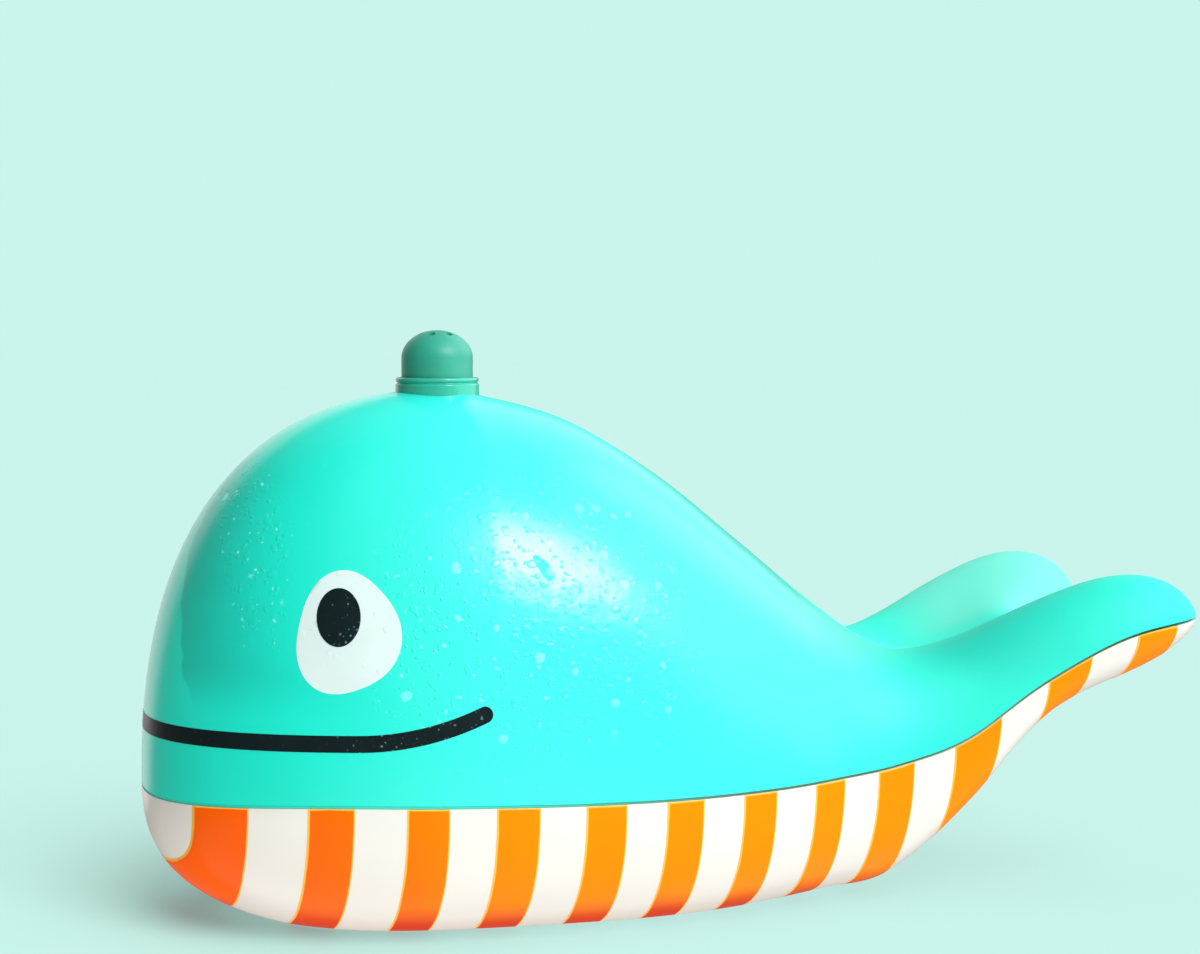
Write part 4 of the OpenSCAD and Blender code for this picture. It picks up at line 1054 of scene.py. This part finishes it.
def shell_finish(settings):
    """Glossy coloured plastic with drops on the cheek and a duller tail, painted shade on the near side
    of the head edged like a water film, painted sheen on the mid flank and the far fluke, and painted
    glints on the drops.
    """
    f = Finish("turquoise plastic")
    point = f.point()
    x, y, z = (f.axis(point, name) for name in "XYZ")
    bent = f.bent(point, 600, 0.0014)
    cloud = f.noise(point, 22, 3)
    plain = f.blend(f.ramp(cloud, 0.35, 0.7), settings.upper_deep, settings.upper)
    # Painted sheen: the mid flank takes a whiter turquoise that stands in for a veil of reflected light
    flank = f.ramp(x, -0.08, -0.04) * (1 - f.ramp(x, 0.01, 0.045))
    plain = f.blend(flank, plain, settings.upper_painted_sheen)
    # Painted shade: the near side of the head, turned away from the key light, is darkened, its wavy
    # edge drawn like a water film's
    edge = y - (z - 0.06) * 0.5 + 0.01 + (f.noise(point, 140, 4) - 0.5) * 0.005
    film = (1 - f.ramp(edge, -0.0004, 0.0004)) * f.ramp(edge, -0.022, -0.005)
    film = film * f.ramp(z, 0.04, 0.05) * (1 - f.ramp(z, 0.078, 0.09))
    plain = f.blend(film * 0.6, plain, SHADE_PAINT)
    # Painted sheen: the far fluke is paled towards white, standing in for reflected light
    far_fluke_sheen = f.ramp(x, 0.05, 0.065) * f.ramp(y, 0, 0.01) * (0.6 + cloud * 0.8)
    plain = f.blend(far_fluke_sheen, plain, SHEEN_PAINT)
    cheek = f.oval(x, z, (-0.036, 0.056), (0.033, 0.024)) + (f.noise(point, 60) - 0.5) * 0.9
    temple = f.oval(x, z, (-0.081, 0.07), (0.006, 0.02)) + (f.noise(point, 90) - 0.5) * 0.9
    patchy = (1 - f.ramp(cheek, 0.5, 1.2)).most(1 - f.ramp(temple, 0.5, 1.2))
    drops = f.drops(bent, settings.drop_size, settings.drop_share) * patchy * 0.16
    fine = f.drops(bent, settings.drop_size * 0.45, settings.drop_share * 0.8) * (patchy * 0.4)
    below = 1 - f.ramp(f.oval(x, z, (-0.032, 0.06), (0.02, 0.009)), 0.6, 1.2)
    crust = f.noise(bent, 300, 3) * (patchy * 0.00002 + below * 0.0001)
    # Painted highlights: pale dots and blotches on the wet patch stand in for the glints of water drops
    specks = f.specks(bent, settings.drop_size * 0.6, 0.35) * (patchy * 0.8 + 0.02)
    glint_pools = f.specks(bent, settings.drop_size * 1.6, 0.55) * patchy * 0.7
    colour = f.blend(specks.most(glint_pools) * 0.7, plain, GLINT_PAINT)
    from_x, from_z = x + 0.0325, z - 0.0665
    gap = f.oval(from_x * 0.6 - from_z * 0.8, from_x * 0.8 + from_z * 0.6, (0, 0), (0.0028, 0.0012))
    dull = 1 - f.ramp(gap + f.noise(point, 500), 1.25, 1.45)
    dull = dull.most(f.ramp(x, 0.018, 0.045) * 0.95)
    return f.surface(Base_Color=colour, Roughness=settings.gloss + cloud * 0.03 + dull * 0.4,
                     Normal=f.bump(drops.most(fine) + crust))


def belly_finish(settings):
    """Glossy cream plastic, with painted warm bounce light near the floor."""
    f = Finish("cream plastic")
    point = f.point()
    height = f.axis(point, "Z")
    # Painted bounce light: the cream turns warmer within a few millimetres of the floor
    low = 1 - f.ramp(height + f.noise(point, 40) * 0.002, 0.0005, 0.008)
    colour = f.blend(low * 0.7, settings.lower, settings.lower_painted_bounce)
    return f.surface(Base_Color=colour, Roughness=settings.gloss + f.noise(point, 30) * 0.03,
                     Normal=f.bump(f.noise(point, 800) * 0.000004))


def stripe_finish(settings):
    """Orange ink over a thinner first coat that shows as a yellow line at the edges, with painted shade
    near the floor.
    """
    f = Finish("orange ink")
    point = f.point()
    x, z = f.axis(point, "X"), f.axis(point, "Z")
    edges, seam = (f.node("ShaderNodeUVMap", None, "UV", uv_map=name) for name in ("edges", "seam"))
    waver = (f.noise(point, 180, 3) - 0.5) * 0.35
    left, right = f.axis(edges, "X"), f.axis(edges, "Y")
    inset = (left * 1.1).least(right * 1.6).least(f.axis(seam, "X") * 1.1 + 0.1) + waver
    full = f.ramp(inset, 0.2, 0.5)
    back = f.ramp(x + (f.noise(point, 25) - 0.5) * 0.01, -0.085, -0.03)
    orange = f.blend(back, settings.stripe_front, settings.stripe_back)
    # Painted shade: the orange darkens to red within a few millimetres of the floor
    low = 1 - f.ramp(z + (f.noise(point, 60) - 0.5) * 0.002, 0.001, 0.0075)
    deep = f.blend(low, orange, settings.stripe_painted_shade)
    colour = f.blend(full, settings.stripe_edge, deep)
    film = full * 0.00001 + f.noise(point, 700) * 0.000006
    return f.surface(Base_Color=colour, Roughness=0.19 + f.noise(point, 90, 3) * 0.08,
                     Normal=f.bump(film), Specular_IOR_Level=0.04)


def white_finish(settings):
    """Cool white ink of the eyes."""
    f = Finish("white ink")
    point = f.point()
    patch = f.ramp(f.noise(point, 120, 3), 0.35, 0.75)
    colour = f.blend(patch * 0.4, settings.white, tuple(min(1, c * 1.1) for c in settings.white))
    drops = f.drops(f.bent(point, 600, 0.001), 0.0014, 0.25) * 0.2
    return f.surface(Base_Color=colour, Roughness=0.3 + patch * 0.06,
                     Normal=f.bump(drops + f.noise(point, 700) * 0.000006))


def black_finish(settings):
    """Gloss black ink with a dew of fine drops, whose glints are painted as pale specks."""
    f = Finish("black ink")
    point = f.point()
    behind = f.ramp(f.axis(point, "X") + (f.noise(point, 200) - 0.5) * 0.004, -0.0715, -0.067)
    dew = f.drops(point, 0.00062, 0.55) * behind * 0.5
    # Painted highlights: pale specks stand in for the glints of the dew, denser towards the tail
    specks = f.specks(point, 0.0009, 1.1) * (behind * 0.9 + 0.06)
    cloud = f.noise(point, 250, 3)
    ink = f.blend(cloud, settings.black, tuple(c * 2.2 for c in settings.black))
    colour = f.blend(specks, ink, (0.08, 0.15, 0.15))
    return f.surface(Base_Color=colour, Roughness=0.28 + cloud * 0.1,
                     Normal=f.bump(dew + cloud * 0.000008), Specular_IOR_Level=0.12)


def gasket_finish():
    """Soft, dull ring in the shell's colour at the nose, turning dark olive towards the tail."""
    f = Finish("gasket rubber")
    point = f.point()
    back = f.ramp(f.axis(point, "X") + (f.noise(point, 50) - 0.5) * 0.02, -0.05, 0.02)
    return f.surface(Base_Color=f.blend(back, GASKET_FRONT, GASKET_BACK),
                     Roughness=0.6 + f.noise(point, 400) * 0.2,
                     Normal=f.bump(f.noise(point, 1200) * 0.00002))


def plastic_finish(name, colour, roughness, grain):
    """Moulded plastic with faint clouds and grain."""
    f = Finish(name)
    point = f.point()
    cloud = f.noise(point, 90, 3)
    shade_of = tuple(c * 0.86 for c in colour)
    return f.surface(Base_Color=f.blend(f.ramp(cloud, 0.35, 0.7), shade_of, colour),
                     Roughness=roughness + cloud * 0.08,
                     Normal=f.bump(f.noise(point, 1400) * grain))


def steel_finish():
    """Bright steel with fine turning lines."""
    f = Finish("bright steel")
    point = f.point()
    lines = f.noise(point, 2600)
    return f.surface(Base_Color=f.blend(f.noise(point, 300), (0.5, 0.5, 0.52), (0.7, 0.7, 0.7)),
                     Metallic=1.0, Roughness=0.22 + lines * 0.16, Normal=f.bump(lines * 0.000006))


def towards(bearing, rise):
    """Direction at a bearing from the front and a height, in degrees."""
    bearing, rise = math.radians(bearing), math.radians(rise)
    return Vector((math.sin(bearing) * math.cos(rise), -math.cos(bearing) * math.cos(rise),
                   math.sin(rise)))


class WHALE_OT_stage(Maker, bpy.types.Operator):
    """Pale sweep, soft lights and the camera"""
    bl_idname = "whale.stage"
    bl_label = "Stage"

    def make(self, scene):
        settings = scene.whale_stage
        floor = self.sweep(settings)
        self.sky(scene, settings)
        self.lights(scene, settings, floor)
        self.camera(scene, settings)
        scene.view_settings.view_transform = "Standard"

    def sweep(self, settings):
        """Floor, and a round backdrop far away in the same colour."""
        radius, height, turns = 6000, 6000, 64
        tone = settings.floor
        ring = [(radius * math.cos(t), radius * math.sin(t))
                for t in np.linspace(0, 2 * math.pi, turns, endpoint=False)]
        floor = new_piece("stage_floor", [(x, y, 0) for x, y in ring], [tuple(range(turns))])
        wall = new_piece("stage_backdrop", [(x, y, z) for z in (0, height) for x, y in ring],
                         [((k + 1) % turns, k, turns + k, turns + (k + 1) % turns)
                          for k in range(turns)])
        f = Finish("stage paper")
        paper = tuple(c * settings.paper for c in tone)
        # Painted light: towards the tail the floor gives off more light itself and takes less lamp
        # light, so cast shadows there are lighter; unshadowed floor stays evenly bright
        shaded = 1 - f.ramp(f.axis(f.point(), "X"), -0.095, -0.01) * 0.75
        glow = f.blend(shaded, tone, tuple(c * settings.glow for c in tone))
        dress(floor, f.surface(Base_Color=f.blend(shaded, (0, 0, 0), paper), Roughness=0.8,
                               Specular_IOR_Level=0.0, Emission_Color=glow, Emission_Strength=1.0))
        dress(wall, Finish("stage backdrop").surface(
            Base_Color=(0, 0, 0), Roughness=1.0, Specular_IOR_Level=0.0, Emission_Color=tone,
            Emission_Strength=1.0))
        for piece in (floor, wall):
            piece.visible_diffuse = piece.visible_glossy = piece.visible_shadow = False
        return floor

    def reach(self, name, piece, state):
        """What a lamp lights: INCLUDE for this piece alone, EXCLUDE for all but it."""
        group = bpy.data.collections.new(name)
        group.objects.link(piece)
        group.collection_objects[0].light_linking.link_state = state
        return group

    def sky(self, scene, settings):
        world = bpy.data.worlds.new("studio")
        scene.world = world
        world.use_nodes = True
        light = world.node_tree.nodes["Background"]
        light.inputs["Color"].default_value = (1, 1, 0.92, 1)
        light.inputs["Strength"].default_value = settings.sky

    def lights(self, scene, settings, floor):
        """Broad soft lamps: bearing from the front, height and width in degrees."""
        floor_alone = self.reach("floor alone", floor, "INCLUDE")
        not_floor = self.reach("all but the floor", floor, "EXCLUDE")
        lamps = (("floor from above", settings.floor_above, 14, 80, 60, (1, 1, 1)),
                 ("floor from front", settings.floor_front, 14, 46, 40, (1, 1, 1)),
                 ("key", settings.key, 27, 38, 18, (1, 1, 0.98)),
                 ("veil", settings.veil, 29, 42, 100, (0.6, 1, 1.08)),
                 ("side", settings.side, 80, 20, 80, (0.9, 1, 1.02)),
                 ("back", settings.back, 160, 50, 70, (0.65, 1, 0.94)),
                 ("sheen", settings.sheen, 125, 35, 56, (1, 1, 1)),
                 ("bounce", settings.bounce, 0, -66, 120, (1.03, 1, 1)),
                 ("bounce left", settings.bounce * 0.68, -60, -60, 80, (1.05, 1, 0.95)),
                 ("rim", settings.rim, -166, 12, 50, (1, 0.95, 1)))
        for name, strength, bearing, rise, width, colour in lamps:
            data = bpy.data.lights.new(name, "SUN")
            data.energy = strength
            data.color = colour
            data.angle = math.radians(width)
            lamp = bpy.data.objects.new(name, data)
            scene.collection.objects.link(lamp)
            lamp.rotation_euler = (-towards(bearing, rise)).to_track_quat("-Z", "Y").to_euler()
            lit = floor_alone if name.startswith("floor") else not_floor
            lamp.light_linking.receiver_collection = lit
            lamp.visible_diffuse = name not in ("rim", "sheen")
            lamp.visible_glossy = name != "back"

    def camera(self, scene, settings):
        """Camera at the height, side and distance of the photograph."""
        data = bpy.data.cameras.new("camera")
        data.lens = data.sensor_width / 2 / math.tan(settings.view / 2)
        data.clip_start = 0.01
        camera = bpy.data.objects.new("camera", data)
        scene.collection.objects.link(camera)
        back = towards(BEARING, RISE)
        camera.location = Vector(AIM) + back * DISTANCE
        camera.rotation_euler = (-back).to_track_quat("-Z", "Y").to_euler()
        scene.camera = camera


class WHALE_PT_parts(bpy.types.Panel):
    """Settings and steps of the toy"""
    bl_label = "Whale toy"
    bl_idname = "WHALE_PT_parts"
    bl_space_type = "VIEW_3D"
    bl_region_type = "UI"
    bl_category = "Whale toy"

    def draw(self, context):
        for name, kind in SETTINGS.items():
            box = self.layout.box()
            box.label(text=kind.__doc__)
            group = getattr(context.scene, name)
            for key in kind.__annotations__:
                box.prop(group, key)
        for step in STEPS:
            self.layout.operator(step.bl_idname)


SETTINGS = {
    "whale_shell": ShellSettings,
    "whale_print": PrintSettings,
    "whale_button": ButtonSettings,
    "whale_stage": StageSettings,
}
STEPS = (
    WHALE_OT_upper_shell, WHALE_OT_lower_shell, WHALE_OT_gasket, WHALE_OT_eyes, WHALE_OT_mouth,
    WHALE_OT_stripes, WHALE_OT_collar, WHALE_OT_button, WHALE_OT_plug, WHALE_OT_screws,
    WHALE_OT_inner_parts, WHALE_OT_stage,
)


def register():
    for kind in (*SETTINGS.values(), *STEPS, WHALE_PT_parts):
        bpy.utils.register_class(kind)
    for name, kind in SETTINGS.items():
        setattr(bpy.types.Scene, name, bpy.props.PointerProperty(type=kind))


def unregister():
    for name in SETTINGS:
        delattr(bpy.types.Scene, name)
    for kind in (WHALE_PT_parts, *reversed(STEPS), *reversed(SETTINGS.values())):
        bpy.utils.unregister_class(kind)


def main():
    register()
    for step in STEPS:
        group, name = step.bl_idname.split(".")
        getattr(getattr(bpy.ops, group), name)()


if __name__ == "__main__":
    main()
